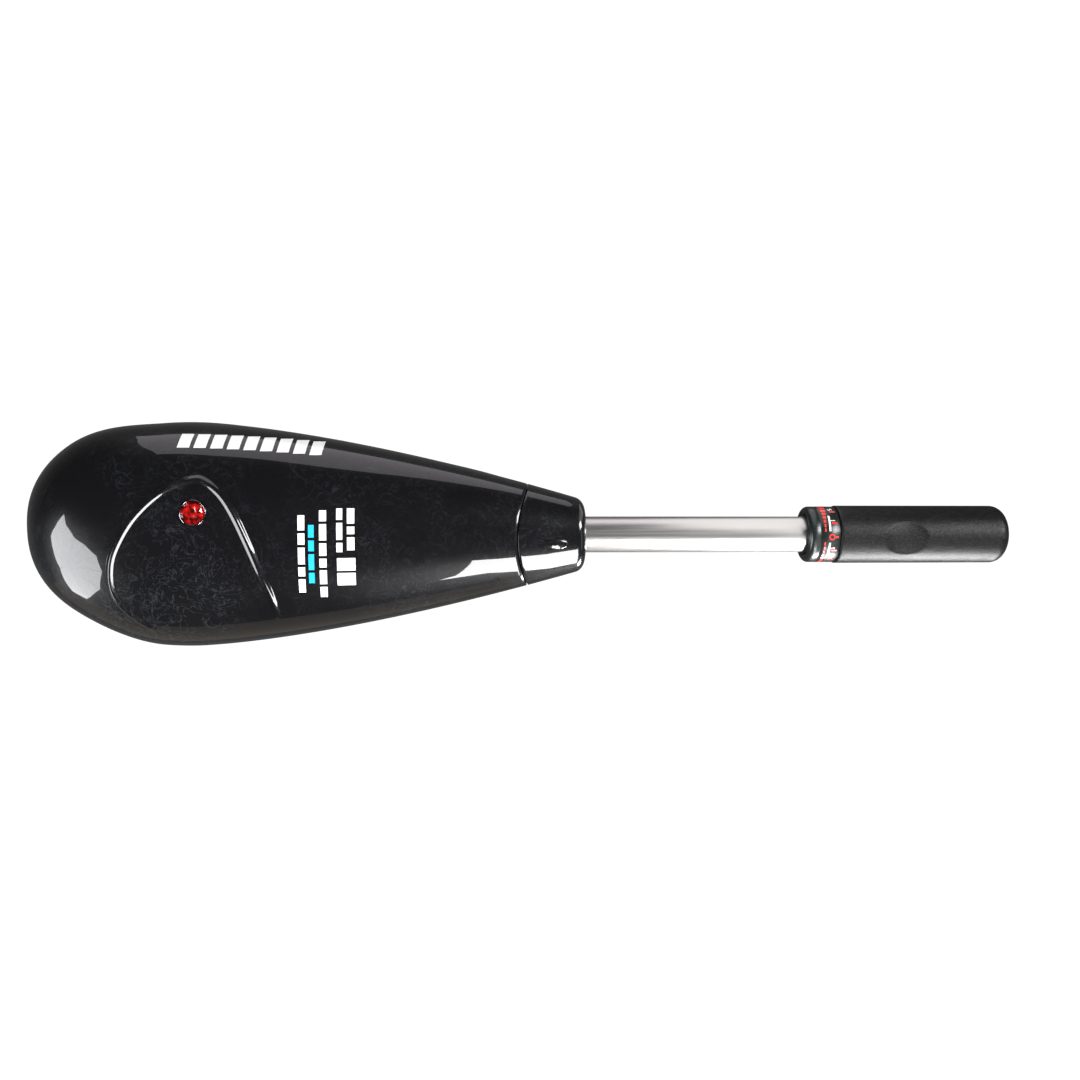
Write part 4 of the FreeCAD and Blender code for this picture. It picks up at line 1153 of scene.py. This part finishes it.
def umbrella_gores(hub, rim, gap=0.006):
    """The cloth of a studio umbrella: gores from its hub to its rim, thin gaps for the ribs."""
    gores = []
    for first, second in zip(rim, rim[1:] + rim[:1]):
        edge = [(first[0] + (second[0] - first[0]) * part,
                 first[1] + (second[1] - first[1]) * part) for part in (gap, 1 - gap)]
        gores.append([hub, *edge])
    return gores


def floor():
    """A plain sheet just below the pod, white to the camera and dark to reflections."""
    made, tree, shader = new_material("white_floor", (0.03, 0.03, 0.03), 1.0, specular=0.0)
    path = tree.nodes.new("ShaderNodeLightPath")
    strength = remap(tree, path.outputs["Is Camera Ray"], 0, 1, 0.05, 1.0)
    shader.inputs["Emission Color"].default_value = (1, 1, 1, 1)
    tree.links.new(strength, shader.inputs["Emission Strength"])
    level = cad_low.z - 0.02
    reach = 6.0
    mesh = bpy.data.meshes.new("floor")
    mesh.from_pydata([(-reach, -reach, level), (reach, -reach, level), (reach, reach, level),
                      (-reach, reach, level)], [], [(0, 1, 2, 3)])
    item = add_object("floor", mesh)
    mesh.materials.append(made)


def world():
    """Dark surroundings for the reflections, and a pale backdrop for the camera."""
    made = bpy.data.worlds.new("studio")
    bpy.context.scene.world = made
    made.use_nodes = True
    tree = made.node_tree
    dark = tree.nodes["Background"]
    dark.inputs["Color"].default_value = (0.035, 0.035, 0.037, 1)
    pale = tree.nodes.new("ShaderNodeBackground")
    pale.inputs["Color"].default_value = (0.9, 0.9, 0.9, 1)
    path = tree.nodes.new("ShaderNodeLightPath")
    mix = tree.nodes.new("ShaderNodeMixShader")
    tree.links.new(path.outputs["Is Camera Ray"], mix.inputs["Fac"])
    tree.links.new(dark.outputs["Background"], mix.inputs[1])
    tree.links.new(pale.outputs["Background"], mix.inputs[2])
    tree.links.new(mix.outputs["Shader"], tree.nodes["World Output"].inputs["Surface"])


def soft_top_light():
    """A wide overhead light that the polished parts do not mirror."""
    data = bpy.data.lights.new("top_light", "AREA")
    data.shape = "SQUARE"
    data.size = 2.2
    data.energy = 55
    item = add_object("top_light", data)
    item.location = HEAD + Vector((0.1, 0, 2.2))
    item.visible_glossy = False
    item.visible_camera = False


# Each panel: what it is seen from (head millimetres), outlines, distance, strength, colour.
PANELS = {
    "front_strip": ((195, -12, 26), [FRONT_STRIP], FAR, 22, (1, 1, 1)),
    "grip_strip": ((450, 0, 0), [GRIP_STRIP], 0.8, 42, (1, 1, 1)),
    "grip_sheet": ((470, 0, 0), [GRIP_SHEET], 0.16, 1.0, (1, 1, 1)),
    "rear_umbrella": ((-55, -10, 35), umbrella_gores(UMBRELLA_HUB, UMBRELLA), FAR, 10,
                      (0.97, 0.98, 1)),
    "left_card": ((80, 45, 25), [LEFT_CARD], FAR, 1.25, (1, 0.95, 1)),
    "tube_card": ((345, 0, 0), [TUBE_CARD], 0.15, 1.3, (1, 1, 1)),
    "right_card": ((60, 0, 20), [RIGHT_CARD], FAR, 22, (1, 1, 1)),
    "front_fill": ((60, 0, 20), [FRONT_FILL], 2.6, 0.3, (1, 0.9, 0.78)),
}


def studio():
    """The look, surroundings, top light and glowing panels."""
    bpy.context.scene.view_settings.view_transform = "Standard"
    world()
    soft_top_light()
    for name, (seen_from, outlines, distance, strength, color) in PANELS.items():
        glow_panel(name, to_row(seen_from), outlines, distance, strength, color)


def camera():
    """Nearly straight down on the head, a little from its left."""
    data = bpy.data.cameras.new("camera")
    item = add_object("camera", data)
    place = to_row((157, 71, 700))
    target = to_row((212, -3.4, 0))
    data.sensor_width = 36
    data.lens = 38.27
    data.clip_start = 0.01
    data.clip_end = 20
    item.location = place
    forward = (target - place).normalized()
    level = forward.cross(Vector((0, 1, 0))).normalized()
    roll = Matrix.Rotation(math.radians(-0.4), 3, forward)
    right = roll @ level
    above = right.cross(forward)
    item.rotation_euler = Matrix((right, above, -forward)).transposed().to_euler()
    bpy.context.scene.camera = item


# ---------------------------------------------------------------- assembly
dress_frame()
cover = cover_skin()
nose_skin()
key_boss()
raised_line()
lamp_seat, lamp_normal = lamp()
cut_round_hole(cover, lamp_seat, lamp_normal, 0.0071, 0.02)
printed_blocks()
side_stripes()
tiller_tube()
dial_start, dial_radius = dial()
dial_scale(dial_start, dial_radius)
grip()
propeller()
for knob_name, facing in (("tilt_knob", 1), ("tension_knob", 1), ("depth_knob", -1)):
    lobed_knob(knob_name, facing)
rounded_parts()
clamp_threads()
floor()
studio()
camera()
